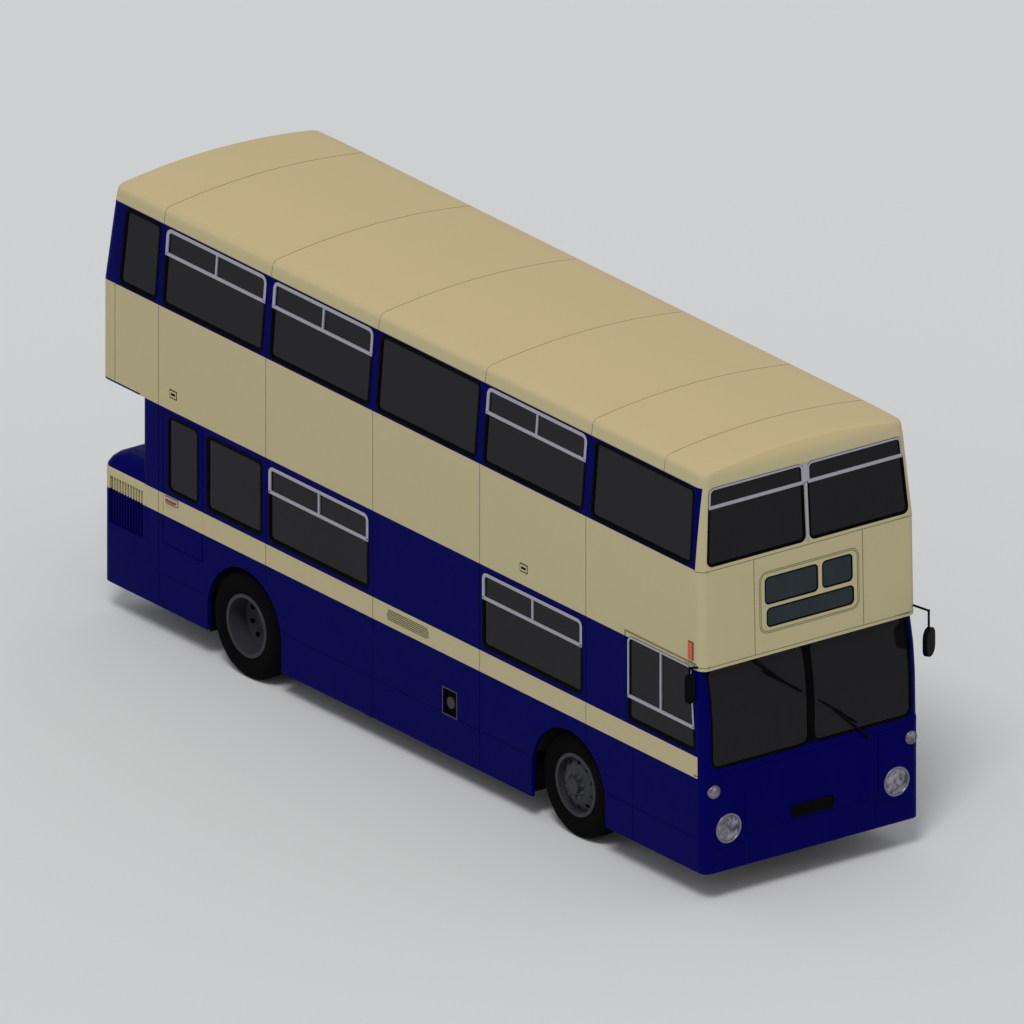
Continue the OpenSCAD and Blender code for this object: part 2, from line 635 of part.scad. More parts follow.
module entrance_step() color("gray") difference() {
    block(entrance_d - 20, floor_joint_d, well_y - 20, half_w - wall_t - fit, well_z - 30, rail_top);
    block(entrance_d, entrance_d + entrance_w, well_y, half_w, well_z, floor_z + over);
}
module upper_floor() color("gray") difference() {
    intersection() {
        upper_form(wall_t + fit);
        block(0, bus_l, -half_w, half_w, ceiling_z, upper_floor_z);
    }
    block(stair_top_d, stair_top_d + tread_d * (risers - 1) - 60, -half_w, stair_y + stair_w + 20, 0, roof_z);
}
// Each riser stands on the back of the tread below it; a stringer runs along each side
riser_t = 20;
tread_t = 30;
stringer_t = 25;
module staircase() color("gray") {
    for (i = [1:risers - 1]) {
        end_d = stair_top_d + (risers - i) * tread_d;
        block(end_d - tread_d - riser_t, end_d, stair_y, stair_y + stair_w,
            floor_z + i * rise - tread_t, floor_z + i * rise);
        block(end_d - riser_t, end_d, stair_y, stair_y + stair_w, floor_z + (i - 1) * rise, floor_z + i * rise);
    }
    foot_d = stair_top_d + (risers - 1) * tread_d + 15;
    for (y = [stair_y, stair_y + stair_w - stringer_t])
        prism_y([[foot_d, floor_z], [foot_d, floor_z + rise + 40], [stair_top_d - 10, upper_floor_z - rise + 50],
            [stair_top_d - 10, upper_floor_z - 2 * rise], [foot_d - tread_d, floor_z]], y, y + stringer_t);
}

// ---------------------------------------------------------------- underframe

rail_y = rear_inner_y - tyre_w / 2 - 274;
spring_y = rear_inner_y - tyre_w / 2 - 124;
rail_w = 80;
rail_z = 500;
rail_top = floor_z - floor_t;
rail_in = rail_y - rail_w / 2;
tow_z = 340;
module chassis_rails() color("dimgray") difference() {
    for (s = [-1, 1]) scale([1, s, 1]) {
        block(120, saloon_d + 20, rail_in, rail_in + rail_w, rail_z, rail_top);
        block(saloon_d + 20, bus_l - 60, rail_in, rail_in + rail_w, rail_z - 100, rail_z);
        block(saloon_d - 60, saloon_d + 60, rail_in, rail_in + rail_w, rail_z - 100, rail_z + 40);
    }
    tube_y(rear_d, axle_z, 76, -rail_y - rail_w, rail_y + rail_w);
}
module crossmembers() color("dimgray") {
    for (d = [700, front_bay, rear_d - 700, rear_d + 450])
        block(d - 30, d + 30, -rail_in, rail_in, rail_z, rail_top);
    for (k = [1, 1.5, 2, 2.5, 4]) for (y = [[-half_w + wall_t + 20, -rail_in - rail_w], [-rail_in, rail_in],
        [rail_in + rail_w, half_w - wall_t - 20]])
        block(bay_d(k) - 30, bay_d(k) + 30, y[0], y[1], rail_top - 60, rail_top);
}
module tow_brackets() color("dimgray") difference() {
    union() {
        block(60, 300, -60, 60, tow_z, tow_z + 30);
        block(220, 300, -rail_in, rail_in, tow_z, rail_z + 40);
        block(bus_l - 180, bus_l - 60, -60, 60, tow_z, tow_z + 30);
        block(bus_l - 180, bus_l - 120, -rail_in, rail_in, tow_z, rail_z);
    }
    tube_z(120, 0, 20, tow_z - over, tow_z + 30 + over);
    tube_z(bus_l - 90, 0, 20, tow_z - over, tow_z + 30 + over);
}
module engine() color("slategray")
    block(saloon_d + 80, bus_l - 100, -800, 800, rail_z, 1350);
module fuel_tank() color("black") {
    block(filler_d - 300, filler_d + 500, -half_w + 70, -rail_y - rail_w, 360, floor_z - floor_t - 80);
    block(filler_d - 60, filler_d + 60, -half_w + wall_t + fit, -half_w + 150, floor_z - floor_t - 80, filler_z + 80);
    tube_y(filler_d, filler_z, cap_r, -half_w + 12, -half_w + wall_t + over);
    block(filler_d - 103 + fit, filler_d + 103 - fit, -half_w + wall_t - 4, -half_w + wall_t, 650 + fit, 900 - fit);
}

// ---------------------------------------------------------------- seats and cab

cushion_z = 430;
module seat(d, y, w, z) {
    prism_y([[d, z + cushion_z - 110], [d, z + cushion_z], [d + 350 - fit, z + cushion_z],
        [d + 430 - fit, z + cushion_z - 110]], y - w / 2, y + w / 2);
    prism_y([[d + 350, z + cushion_z], [d + 430, z + cushion_z - 110], [d + 530, z + 980], [d + 460, z + 980]],
        y - w / 2, y + w / 2);
    block(d + 60, d + 380, y - 40, y + 40, z, z + cushion_z - 110 - fit);
}
seat_y = half_w - wall_t - 25 - seat_w / 2;
module lower_seats() color("royalblue") {
    for (i = [0:3]) seat(front_d + front_box_half + 130 + i * seat_pitch, seat_y, seat_w, floor_z);
    for (d = [front_d + front_box_half + 60, bay_d(2) + 60, bay_d(2) + 60 + seat_pitch]) seat(d, -seat_y, seat_w, floor_z);
    for (s = [-1, 1]) {
        block(rear_d - rear_box_half + 20, rear_d + rear_box_half - 20, s * (half_w - 300) - 210, s * (half_w - 300) + 210,
            box_top_z + box_t, box_top_z + box_t + 90);
    }
    seat(rear_d + rear_box_half + 130, seat_y, seat_w, floor_z);
    seat(750, -half_w + 500, 480, floor_z + 60);
    block(790, 1130, -half_w + 400, -half_w + 600, floor_z, floor_z + 60 - fit);
}
module upper_seats() color("royalblue") {
    for (i = [0:10]) seat(560 + i * seat_pitch, seat_y, seat_w, upper_floor_z);
    for (i = [0:10]) if (560 + i * seat_pitch + 600 < stair_top_d || 560 + i * seat_pitch > stair_top_d + tread_d * (risers - 1))
        seat(560 + i * seat_pitch, -seat_y, seat_w, upper_floor_z);
}
module cab_partition() color("wheat") {
    block(1330, 1360, -half_w + wall_t + fit, -250, floor_z, floor_z + 1250);
    block(520, 1330, -280, -250, floor_z, floor_z + 900);
}
column = [front_x - 420, -half_w + 500, floor_z + 420];
wheel_tilt = 30;
module dashboard() color("dimgray") {
    prism_y([[60, floor_z], [60, floor_z + 560], [300, floor_z + 520], [330, floor_z + 420], [200, floor_z + 300], [200, floor_z]],
        -half_w + wall_t + 40, -350);
    translate(column) rotate([0, -wheel_tilt, 0])
        translate([0, 0, -464]) cylinder(h = 464 + 40, r = 30, $fn = 32);
}
module steering_wheel() color("black") translate(column) rotate([0, -wheel_tilt, 0]) translate([0, 0, 40 + fit]) {
    rotate_extrude($fn = 64) translate([230, 30]) circle(r = 14, $fn = 24);
    cylinder(h = 40, r = 45, $fn = 32);
    for (a = [0, 120, 240]) rotate([0, 0, a]) translate([30, -12, 18]) cube([195, 24, 16]);
}
module handrails() color("silver") {
    for (d = [bay_d(0) + 700, bay_d(1) + 500, bay_d(2) + 700, rear_d + rear_box_half + 60])
        tube_z(d, rail_line_y, rail_r, floor_z, ceiling_z);
    for (d = [1500, stair_top_d + tread_d * (risers - 1) + 60])
        tube_z(d, -half_w + stair_w + 120, rail_r, floor_z, ceiling_z);
}
rail_r = 17;
rail_line_y = seat_y - seat_w / 2 - 25;

// ---------------------------------------------------------------- lamps, plates, wipers, mirrors

module lamps() color("silver") {
    front_lamp_places(0);
    for (s = [-1, 1]) scale([1, s, 1]) block(bus_l, bus_l + lamp_proud, half_w - 200, half_w - 145, 950, 1270);
}
plate_w = 485;
plate_h = 117;
module number_plates() color("black") {
    block(-lamp_proud, 0, -plate_w / 2, plate_w / 2, 646, 646 + plate_h);
    block(bus_l, bus_l + lamp_proud, -plate_w / 2, plate_w / 2, 420, 420 + plate_h);
}
module link(p, q, w) hull() for (c = [p, q]) at(c[0], c[1], c[2]) cube(w, center = true);
module wipers() color("black") {
    tube_x(630, 1262, 16, -34, 0);
    link([-28, 630, 1262], [-10, 295, 1580], 12);
    link([-2, 120, 1720], [-8, 500, 1430], 12);
    block(52, 78, -622, -598, lip_z - 34, lip_z);
    link([60, -610, lip_z - 28], [34, -297, 2009], 12);
    link([50, -502, 2152], [20, -118, 1879], 12);
}
module mirror_head(s, yaw, d, z, w, h, t, r) {
    reach = w / 2 * cos(yaw) + t / 2 * sin(yaw);
    at(d, s * (half_w + mirror_side - reach), z) rotate([0, 0, s * yaw]) rotate([0, 90, 0])
        linear_extrude(t, center = true)
            polygon(rounded([for (c = [[-1, -1], [-1, 1], [1, 1], [1, -1]]) [c[0] * h / 2, c[1] * w / 2]], r));
}
module mirrors() color("black") {
    mirror_head(1, near_yaw, mirror_d, 2085, mirror_w, mirror_h, mirror_t, 90);
    mirror_head(-1, off_yaw, off_mirror_d, 2142, off_w, off_h, off_t, 46);
    mirror_feet(0);
    for (k = [knee, off_knee]) translate(k) sphere(r = arm_r + 2, $fn = 24);
    rod(knee, [front_x + 122, half_w + 8, 2170], arm_r);
    rod(off_knee, [off_knee[0], off_knee[1], 2200], arm_r);
}
arm_r = 11;
knee = [front_x + 130, half_w + 2, 2402];
off_knee = [front_x - off_mirror_d, -half_w - 59, 2350];
// The arms where they leave the front corners
module mirror_feet(grow) {
    rod([front_x - 70, half_w - 30, 2400], knee, arm_r + grow);
    rod([front_x - 113, -half_w + 10, 2353], off_knee, arm_r + grow);
}

// ---------------------------------------------------------------- axles, knuckles and wheels

eye_r = 48;
king_r = 20;
yoke_half = 80;                 // half height of the axle's kingpin eye
beam_z = 440;
module front_axle() color("dimgray") difference() {
    union() {
        block(front_d - 45, front_d + 45, -kingpin_y + 120, kingpin_y - 120, beam_z - 45, beam_z + 45);
        for (s = [-1, 1]) scale([1, s, 1]) {
            prism_x([[kingpin_y - 140, beam_z - 45], [kingpin_y - 20, axle_z - 40], [kingpin_y - 20, axle_z + 40],
                [kingpin_y - 140, beam_z + 45]], front_d - 40, front_d + 40);
            tube_z(front_d, kingpin_y, eye_r, axle_z - yoke_half, axle_z + yoke_half);
            block(front_d - 550, front_d + 550, rail_y - 35, rail_y + 35, beam_z + 45, rail_z);
        }
    }
    for (s = [-1, 1]) tube_z(front_d, s * kingpin_y, king_r + run, 0, 1000);
}
plate_t = 22;                   // knuckle plates above and below the eye
spindle_end = 60;               // end of the spindle past the wheel's middle
spindle_r = 34;
web_out = 80;                   // outer face of the knuckle from the kingpin
hub_start = kingpin_y + web_out + 6 - front_wheel_y;
arm_d = 130;                    // steering arm length behind the kingpin
arm_in = 0;                     // none inboard of it: the linkage is a parallelogram
arm_z = axle_z - yoke_half - fit - 2 * plate_t;
ball_z = arm_z - 27;
module knuckle() {
    low = axle_z - yoke_half - fit - plate_t;
    high = axle_z + yoke_half + fit;
    tube_z(front_d, kingpin_y, king_r, low, high + plate_t);
    for (z = [low, high]) block(front_d - 42, front_d + 42, kingpin_y - 42, kingpin_y + web_out, z, z + plate_t);
    block(front_d - 42, front_d + 42, kingpin_y + web_out - 24, kingpin_y + web_out, low, high + plate_t);
    tube_y(front_d, axle_z, spindle_r, kingpin_y + web_out, front_wheel_y + spindle_end);
    block(front_d - 20, front_d + 42, kingpin_y - arm_in - 25, kingpin_y, arm_z, arm_z + plate_t);
    block(front_d + 20, front_d + arm_d + 25, kingpin_y - arm_in - 25, kingpin_y - arm_in + 25, arm_z, arm_z + plate_t);
    tube_z(front_d + arm_d, kingpin_y - arm_in, ball_r, ball_z - 22, arm_z + 11);
}
ball_r = 14;
module left_knuckle() color("dimgray") knuckle();
module right_knuckle() color("dimgray") scale([1, -1, 1]) knuckle();
module track_rod() color("dimgray") difference() {
    union() {
        tube_y(front_d + arm_d, ball_z, 16, -kingpin_y + arm_in + 24, kingpin_y - arm_in - 24);
        for (s = [-1, 1]) tube_z(front_d + arm_d, s * (kingpin_y - arm_in), 28, ball_z - 18, ball_z + 18);
    }
    tube_z(front_d + arm_d, kingpin_y - arm_in, ball_r + run, 0, axle_z);
    tube_z(front_d + arm_d, arm_in - kingpin_y, ball_r + 1, 0, axle_z);
}
casing_r = 70;
stub_r = 42;
module rear_axle() color("dimgray") {
    tube_y(rear_d, axle_z, casing_r, -rear_inner_y + tyre_w / 2 - 60, rear_inner_y - tyre_w / 2 + 60);
    at(rear_d, 0, axle_z) sphere(r = 92, $fn = 48);
    tube_y(rear_d, axle_z, stub_r, 50 - rear_mid_y - 2 * fit, rear_mid_y + 50 - 2 * fit);
    for (s = [-1, 1]) block(rear_d - 600, rear_d - casing_r + 20, s * spring_y - 35, s * spring_y + 35, axle_z - 100, axle_z - 80);
    for (s = [-1, 1]) block(rear_d - 600, rear_d + 600, s * spring_y - 35, s * spring_y + 35, axle_z - 95, axle_z - 60);
    for (s = [-1, 1]) for (e = [-600, 530]) block(rear_d + e, rear_d + e + 70, s * spring_y - 35, s * spring_y + 35, axle_z - 95, floor_z - floor_t);
}

// A tyre's section about its axle, centred on its width
bead_half = tyre_w / 2 - 34;
bead_slope = 18 / 26;
function tyre_section() = let (w = tyre_w / 2, r = tyre_r) concat(
    [[bead_r, -bead_half], [bead_r, bead_half], [bead_r + 26, w - 16], [bead_r + 90, w - 2], [(bead_r + r) / 2, w]],
    [[r - 60, w - 4], [r - 22, w - 22], [r - 5, w - 36], [r, w - 60]],
    [[r, -w + 60], [r - 5, -w + 36], [r - 22, -w + 22], [r - 60, -w + 4]],
    [[(bead_r + r) / 2, -w], [bead_r + 90, -w + 2], [bead_r + 26, -w + 16]]);
module on_axle(d, y) at(d, y, axle_z) rotate([-90, 0, 0]) children();
module tyre() rotate_extrude($fn = 96) polygon(tyre_section());

// A rim: its barrel with a flange each side, and a disc whose hub face stands at c along the
// axle and whose edge stands dish further out
disc_t = 14;
barrel_t = 14;
flange_h = 22;
module rim(c, dish, hole_r) {
    b = bead_r - fit;
    w = bead_half + 25;
    seat = bead_half + fit;
    lip = bead_half + flange_h * bead_slope + 2 * fit;
    rotate_extrude($fn = 96) polygon([[b - barrel_t, -w], [b + flange_h, -w], [b + flange_h, -lip], [b, -seat],
        [b, seat], [b + flange_h, lip], [b + flange_h, w], [b - barrel_t, w]]);
    difference() {
        rotate_extrude($fn = 96) polygon([[60, c], [150, c], [185, c + dish / 5], [b - barrel_t + 1, c + dish],
            [b - barrel_t + 1, c + dish - disc_t], [180, c + dish / 5 - disc_t], [145, c - disc_t], [60, c - disc_t]]);
        for (a = [0:36:324]) rotate([0, 0, a + 18]) translate([222, 0, c - 90]) cylinder(h = 180, r = hole_r, $fn = 32);
    }
}
module wheel_hub(r, z0, z1) translate([0, 0, z0]) cylinder(h = z1 - z0, r = r, $fn = 64);
front_disc = bead_half + 14;
module front_rim() difference() {
    union() {
        rim(front_disc, -60, 24);
        wheel_hub(90, hub_start, front_disc);
        wheel_hub(78, front_disc - over, front_disc + 45);
    }
    wheel_hub(spindle_r + run, hub_start - over, spindle_end + fit);
}
twin_mid = -(tyre_w + twin_gap) / 2;
rear_hub_end = twin_mid + 90;
module rear_rims() difference() {
    union() {
        rim(twin_mid + disc_t, 60, 26);
        translate([0, 0, 2 * twin_mid]) scale([1, 1, -1]) rim(twin_mid + disc_t, 60, 26);
        wheel_hub(100, 2 * twin_mid - 20, rear_hub_end - 30);
        wheel_hub(75, rear_hub_end - 31, rear_hub_end);
    }
    wheel_hub(stub_r + run, 2 * twin_mid - 21, rear_hub_end - 40);
}
module front_left_rim() color("gray") on_axle(front_d, front_wheel_y) front_rim();
module front_right_rim() color("gray") scale([1, -1, 1]) on_axle(front_d, front_wheel_y) front_rim();
module rear_left_rims() color("gray") on_axle(rear_d, rear_outer_y) rear_rims();
module rear_right_rims() color("gray") scale([1, -1, 1]) on_axle(rear_d, rear_outer_y) rear_rims();
module front_left_tyre() color("black") on_axle(front_d, front_wheel_y) tyre();
module front_right_tyre() color("black") on_axle(front_d, -front_wheel_y) tyre();
module rear_left_tyres() color("black") for (y = [rear_outer_y, rear_inner_y]) on_axle(rear_d, y) tyre();
module rear_right_tyres() color("black") for (y = [rear_outer_y, rear_inner_y]) on_axle(rear_d, -y) tyre();

chassis_rails();
crossmembers();
tow_brackets();
entrance_floor();
lower_floor();
wheel_boxes();
entrance_step();
upper_floor();
staircase();
offside_lower_panel();
nearside_lower_panel();
offside_upper_panel();
nearside_upper_panel();
front_lower_panel();
front_upper_panel();
rear_upper_panel();
saloon_rear_wall();
pod_offside_panel();
pod_nearside_panel();
rear_valance();
side_grilles();
roof();
front_glass();
side_glass();
rear_glass();
lower_seats();
upper_seats();
cab_partition();
dashboard();
handrails();
engine();
fuel_tank();
lamps();
number_plates();
wipers();
mirrors();
front_axle();
rear_axle();
left_knuckle();
right_knuckle();
track_rod();
steering_wheel();
front_left_rim();
front_right_rim();
rear_left_rims();
rear_right_rims();
front_left_tyre();
front_right_tyre();
rear_left_tyres();
rear_right_tyres();
front_door_outer_leaf();
front_door_inner_leaf();
rear_door_outer_leaf();
rear_door_inner_leaf();
emergency_door();
engine_bonnet();
upper_emergency_exit();
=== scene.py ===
import math
import bmesh
import bpy
from mathutils import Matrix, Vector
from mathutils.bvhtree import BVHTree


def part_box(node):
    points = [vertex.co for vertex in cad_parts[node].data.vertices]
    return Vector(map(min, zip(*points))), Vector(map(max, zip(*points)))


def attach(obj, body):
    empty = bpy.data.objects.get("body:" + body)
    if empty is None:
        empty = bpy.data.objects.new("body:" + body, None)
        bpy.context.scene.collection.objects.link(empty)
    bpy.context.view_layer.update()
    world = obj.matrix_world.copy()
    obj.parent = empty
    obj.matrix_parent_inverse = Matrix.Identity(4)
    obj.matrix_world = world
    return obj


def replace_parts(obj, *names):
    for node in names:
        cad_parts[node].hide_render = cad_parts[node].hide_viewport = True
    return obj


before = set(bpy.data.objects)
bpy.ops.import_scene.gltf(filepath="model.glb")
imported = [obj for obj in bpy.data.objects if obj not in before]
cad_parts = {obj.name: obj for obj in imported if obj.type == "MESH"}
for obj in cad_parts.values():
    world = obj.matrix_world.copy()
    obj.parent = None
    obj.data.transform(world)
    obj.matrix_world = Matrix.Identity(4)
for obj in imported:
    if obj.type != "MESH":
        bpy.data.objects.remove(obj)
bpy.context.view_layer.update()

# ------------------------------------------------------------------ viewpoint
# The bus is seen from ahead of its offside front corner and from a little above,
# through a long lens, so that parallel edges stay parallel.



def in_scene(name, data):
    thing = bpy.data.objects.new(name, data)
    bpy.context.scene.collection.objects.link(thing)
    return thing


right = Vector((0.6, 0.8, 0.0))
upward = Vector((-0.297113, 0.222834, 0.928477))
backward = right.cross(upward)
eye = bpy.data.cameras.new("eye")
eye.type = "ORTHO"
eye.ortho_scale = 9.508
eye.clip_end = 200
eye_at = in_scene("eye", eye)
eye_place = Matrix.Translation(right * -0.0424 + upward * 2.0256 + backward * 30)
eye_at.matrix_world = eye_place @ Matrix((right, upward, backward)).transposed().to_4x4()
bpy.context.scene.camera = eye_at

# ------------------------------------------------------------------ chassis and axles
# Pressed steel side rails with outriggers, a forged front axle on leaf springs and a banjo
# rear axle, all riveted or bolted up and brushed with black chassis paint, under road dust.

front_x = 4.5795335          # the front panel, from the middle of the bus
half_w = 1.25


def paint_code(shade):
    """Linear colour from a shade card's red, green and blue, 0 to 255."""
    return tuple(c / 3294.6 if c <= 10 else ((c / 255 + 0.055) / 1.055) ** 2.4 for c in shade) + (1.0,)


def feed(tree, sockets, values):
    """Sets input sockets from plain values, or links them from output sockets."""
    for name, value in values.items():
        if isinstance(value, bpy.types.NodeSocket):
            tree.links.new(value, sockets[name])
        else:
            sockets[name].default_value = value


def put(tree, kind, values=None, **setup):
    """A new node, set up and fed. Gives its outputs."""
    node = tree.nodes.new(kind)
    for name, value in setup.items():
        setattr(node, name, value)
    feed(tree, node.inputs, values or {})
    return node.outputs


def new_finish(name, shade, roughness, metal=0.0):
    """A material, its tree, its shader's sockets and the place on the piece."""
    made = bpy.data.materials.new(name)
    made.use_nodes = True
    tree = made.node_tree
    coat = tree.nodes["Principled BSDF"].inputs
    feed(tree, coat, {"Base Color": paint_code(shade), "Roughness": roughness, "Metallic": metal})
    return made, tree, coat, put(tree, "ShaderNodeTexCoord")["Object"]


def new_group(name, kind, takes, gives):
    """An empty node group: its tree, what comes in, and the sockets that go out."""
    tree = bpy.data.node_groups.new(name, kind + "NodeTree")
    for way, sockets in (("INPUT", takes), ("OUTPUT", gives)):
        for socket, holds in sockets.items():
            tree.interface.new_socket(socket, in_out=way, socket_type="NodeSocket" + holds)
    return tree, tree.nodes.new("NodeGroupInput").outputs, tree.nodes.new("NodeGroupOutput").inputs


def reckon(tree, kind, a, b):
    return put(tree, "ShaderNodeMath", {0: a, 1: b}, operation=kind)[0]


def mixed(tree, share, a, b):
    return put(tree, "ShaderNodeMix", {0: share, 6: a, 7: b}, data_type="RGBA")[2]


# Road film: heavier towards the ground, in soft patches and faint streaks.
film, taken, given = new_group(
    "road_film", "Shader", {"Place": "Vector", "Colour": "Color", "Dirt": "Color", "Reach": "Float",
                            "Amount": "Float", "Gloss": "Float"},
    {"Base Color": "Color", "Roughness": "Float"})
height = put(film, "ShaderNodeSeparateXYZ", {0: taken["Place"]})[2]
high_up = reckon(film, "MINIMUM", reckon(film, "DIVIDE", height, taken["Reach"]), 1.0)
stretch = put(film, "ShaderNodeMapping", {0: taken["Place"], "Scale": (2.6, 2.6, 0.9)})
patches = put(film, "ShaderNodeTexNoise", {"Vector": stretch[0], "Scale": 1.6, "Detail": 6})
patchy = reckon(film, "MULTIPLY", reckon(film, "SUBTRACT", patches[0], 0.45), 1.2)
patchy = reckon(film, "ADD", patchy, reckon(film, "SUBTRACT", 1.0, high_up))
share = reckon(film, "MULTIPLY", reckon(film, "MAXIMUM", patchy, 0.0), taken["Amount"])
feed(film, given, {
    "Base Color": mixed(film, share, taken["Colour"], taken["Dirt"]),
    "Roughness": reckon(film, "ADD", taken["Gloss"], reckon(film, "MULTIPLY", share, 0.6))})

# Fine surface texture, as a height: orange peel, cast skin, moulded grain.
grain, taken, given = new_group(
    "surface_grain", "Shader", {"Place": "Vector", "Scale": "Float", "Depth": "Float"},
    {"Height": "Float", "Tone": "Float"})
speck = put(grain, "ShaderNodeTexNoise", {"Vector": taken["Place"], "Scale": taken["Scale"], "Detail": 4})
feed(grain, given, {"Height": reckon(grain, "MULTIPLY", speck[0], taken["Depth"]), "Tone": speck[0]})


def effect(tree, group, **values):
    return put(tree, "ShaderNodeGroup", values, node_tree=group)


def bumped(tree, coat, height, distance=1.0):
    feed(tree, coat, {"Normal": put(tree, "ShaderNodeBump", {"Distance": distance, "Height": height})[0]})


def roughen(tree, coat, place, scale, depth):
    bumped(tree, coat, effect(tree, grain, Place=place, Scale=scale, Depth=depth)["Height"])


def under_film(tree, coat, place, colour, dirt, reach, amount, gloss, shows=("Base Color", "Roughness")):
    """Lays road film over a coat."""
    dusty = effect(tree, film, Place=place, Colour=colour, Dirt=paint_code(dirt), Reach=reach, Amount=amount,
                   Gloss=gloss)
    feed(tree, coat, {name: dusty[name] for name in shows})


def worn_finish(name, shade, dirt, reach, amount, gloss, scale, depth, metal=0.0, sheen=0.5):
    """A plain colour under road film, with a grain."""
    made, tree, coat, place = new_finish(name, shade, gloss, metal)
    coat["Specular IOR Level"].default_value = sheen
    under_film(tree, coat, place, paint_code(shade), dirt, reach, amount, gloss)
    roughen(tree, coat, place, scale, depth)
    return made


chassis_black = worn_finish("chassis_black", (30, 30, 31), (92, 82, 68), 1.2, 0.35, 0.62, 160, 0.0004)
cast_iron = worn_finish("cast_iron", (44, 42, 41), (96, 80, 62), 1.2, 0.4, 0.7, 260, 0.0009)


def dressed(finish, *nodes):
    """Gives a material to CAD nodes that stay."""
    for node in nodes:
        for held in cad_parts[node].material_slots:
            held.material = finish


def into_piece(name, made, finishes, body, edge=0.0, sharp=35):
    """A finished piece from a bmesh. Edges past the sharp angle stay crisp, rounded by edge."""
    for face in made.faces:
        face.smooth = True
    for e in made.edges:
        e.smooth = e.calc_face_angle(0) < math.radians(sharp)
    mesh = bpy.data.meshes.new(name)
    made.to_mesh(mesh)
    made.free()
    for finish in finishes:
        mesh.materials.append(finish)
    thing = in_scene(name, mesh)
    if edge:
        round_off = thing.modifiers.new("edge", "BEVEL")
        round_off.width = edge
        round_off.segments = 2
        round_off.limit_method = "ANGLE"
        round_off.angle_limit = math.radians(sharp)
        round_off.harden_normals = True
    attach(thing, body)
    return thing


def cleaned(node):
    """A merged copy of a node's loose triangles, with flat areas joined."""
    made = bmesh.new()
    made.from_mesh(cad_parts[node].data)
    bmesh.ops.remove_doubles(made, verts=made.verts, dist=2e-5)
    bmesh.ops.dissolve_limit(made, angle_limit=math.radians(0.4), verts=made.verts, edges=made.edges)
    return made


def eased(node, body, finish, edge=0.003, sharp=35):
    """The node's own shape with its edges eased."""
    piece = into_piece(node + "_finished", cleaned(node), [finish], body, edge, sharp)
    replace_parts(piece, node)
    return piece


dressed(chassis_black, "crossmembers", "tow_brackets")
eased("chassis_rails", "body", chassis_black, 0.006)
eased("front_axle", "body", cast_iron, 0.006)
eased("rear_axle", "body", cast_iron, 0.006)
for body in ("left_knuckle", "right_knuckle", "track_rod"):
    eased(body, body, cast_iron, 0.003)

# ------------------------------------------------------------------ wheels and tyres
# Pressed steel disc wheels, single in front and twinned behind, sprayed grey and held by ten
# nuts round a hub with a turned cap. Radial tyres with straight ribs and cut shoulders.

axle_z = 0.521
front_axle_x, rear_axle_x = front_x - 2.109, front_x - 7.124
front_tyre_y, outer_tyre_y, inner_tyre_y = 1.049, 1.107, 0.795
tyre_r, bead_r, bead_half = 0.521, 0.286, 0.097
sidewall = [(bead_r, bead_half), (0.291, 0.1015), (0.300, 0.1085), (0.312, 0.1150), (0.316, 0.1172),
            (0.320, 0.1172), (0.324, 0.1192), (0.345, 0.1240), (0.376, 0.1285), (0.3825, 0.1307),
            (0.388, 0.1307), (0.3925, 0.1292), (0.4035, 0.1302), (0.430, 0.1300), (0.452, 0.1285),
            (0.461, 0.1262), (0.470, 0.1240), (0.484, 0.1180), (0.497, 0.1105), (0.508, 0.1010),
            (0.5155, 0.0930)]
ribs = [(0.0700, 0.0560), (0.0440, 0.0300), (0.0180, 0.0060)]     # each rib from its outer to its inner edge
shoulder = (0.5185, 0.0830)
groove_r = 0.5075
wheels = [("front_left_wheel", "front_left_tyre", "front_left_rim", front_axle_x, 0.111, [front_tyre_y]),
          ("front_right_wheel", "front_right_tyre", "front_right_rim", front_axle_x, 0.111, [-front_tyre_y]),
          ("rear_left_wheels", "rear_left_tyres", "rear_left_rims", rear_axle_x, -0.142,
           [outer_tyre_y, inner_tyre_y]),
          ("rear_right_wheels", "rear_right_tyres", "rear_right_rims", rear_axle_x, -0.142,
           [-outer_tyre_y, -inner_tyre_y])]

tyre_rubber = worn_finish("tyre_rubber", (5, 5, 5), (26, 24, 22), 1.0, 0.08, 0.85, 240, 0.0005, sheen=0.05)
wheel_grey = worn_finish("wheel_grey", (48, 50, 56), (48, 43, 38), 1.1, 0.25, 0.52, 220, 0.0002, sheen=0.25)
nut_steel = worn_finish("nut_steel", (86, 84, 84), (70, 58, 46), 1.1, 0.3, 0.5, 300, 0.0004, metal=0.4)


def tread_section():
    """Half a tyre's outline and its mirror image, with a groove after each rib but the last."""
    half = sidewall + [shoulder, (tyre_r, 0.0770)]
    for k, (outer, inner) in enumerate(ribs):
        half += [(tyre_r, outer), (tyre_r, inner)]
        if k < len(ribs) - 1:
            half += [(groove_r, inner - 0.0015), (groove_r, ribs[k + 1][0] + 0.0015)]
    return half + [(r, -w) for r, w in reversed(half)]


def skinned(made, rings, around=True, closed=True):
    """Faces between neighbouring rings of points, outside out."""
    fresh, m = [], len(rings[0])
    for a, b in zip(rings, rings[1:] + rings[:1] if around else rings[1:]):
        for k in range(m if closed else m - 1):
            fresh.append(made.faces.new((a[k], a[(k + 1) % m], b[(k + 1) % m], b[k])))
    return fresh


def turned(made, section, at, axis_y, segments, cuts=None):
    """A closed section (radius, side) turned about an axle that lies along y."""
    rings = []
    for i in range(segments):
        a = 2 * math.pi * i / segments
        ring = []
        for r, w in section:
            r -= cuts(i, r, w) if cuts else 0
            ring.append(made.verts.new((at[0] + r * math.sin(a), axis_y + w, at[1] + r * math.cos(a))))
        rings.append(ring)
    bmesh.ops.recalc_face_normals(made, faces=skinned(made, rings))


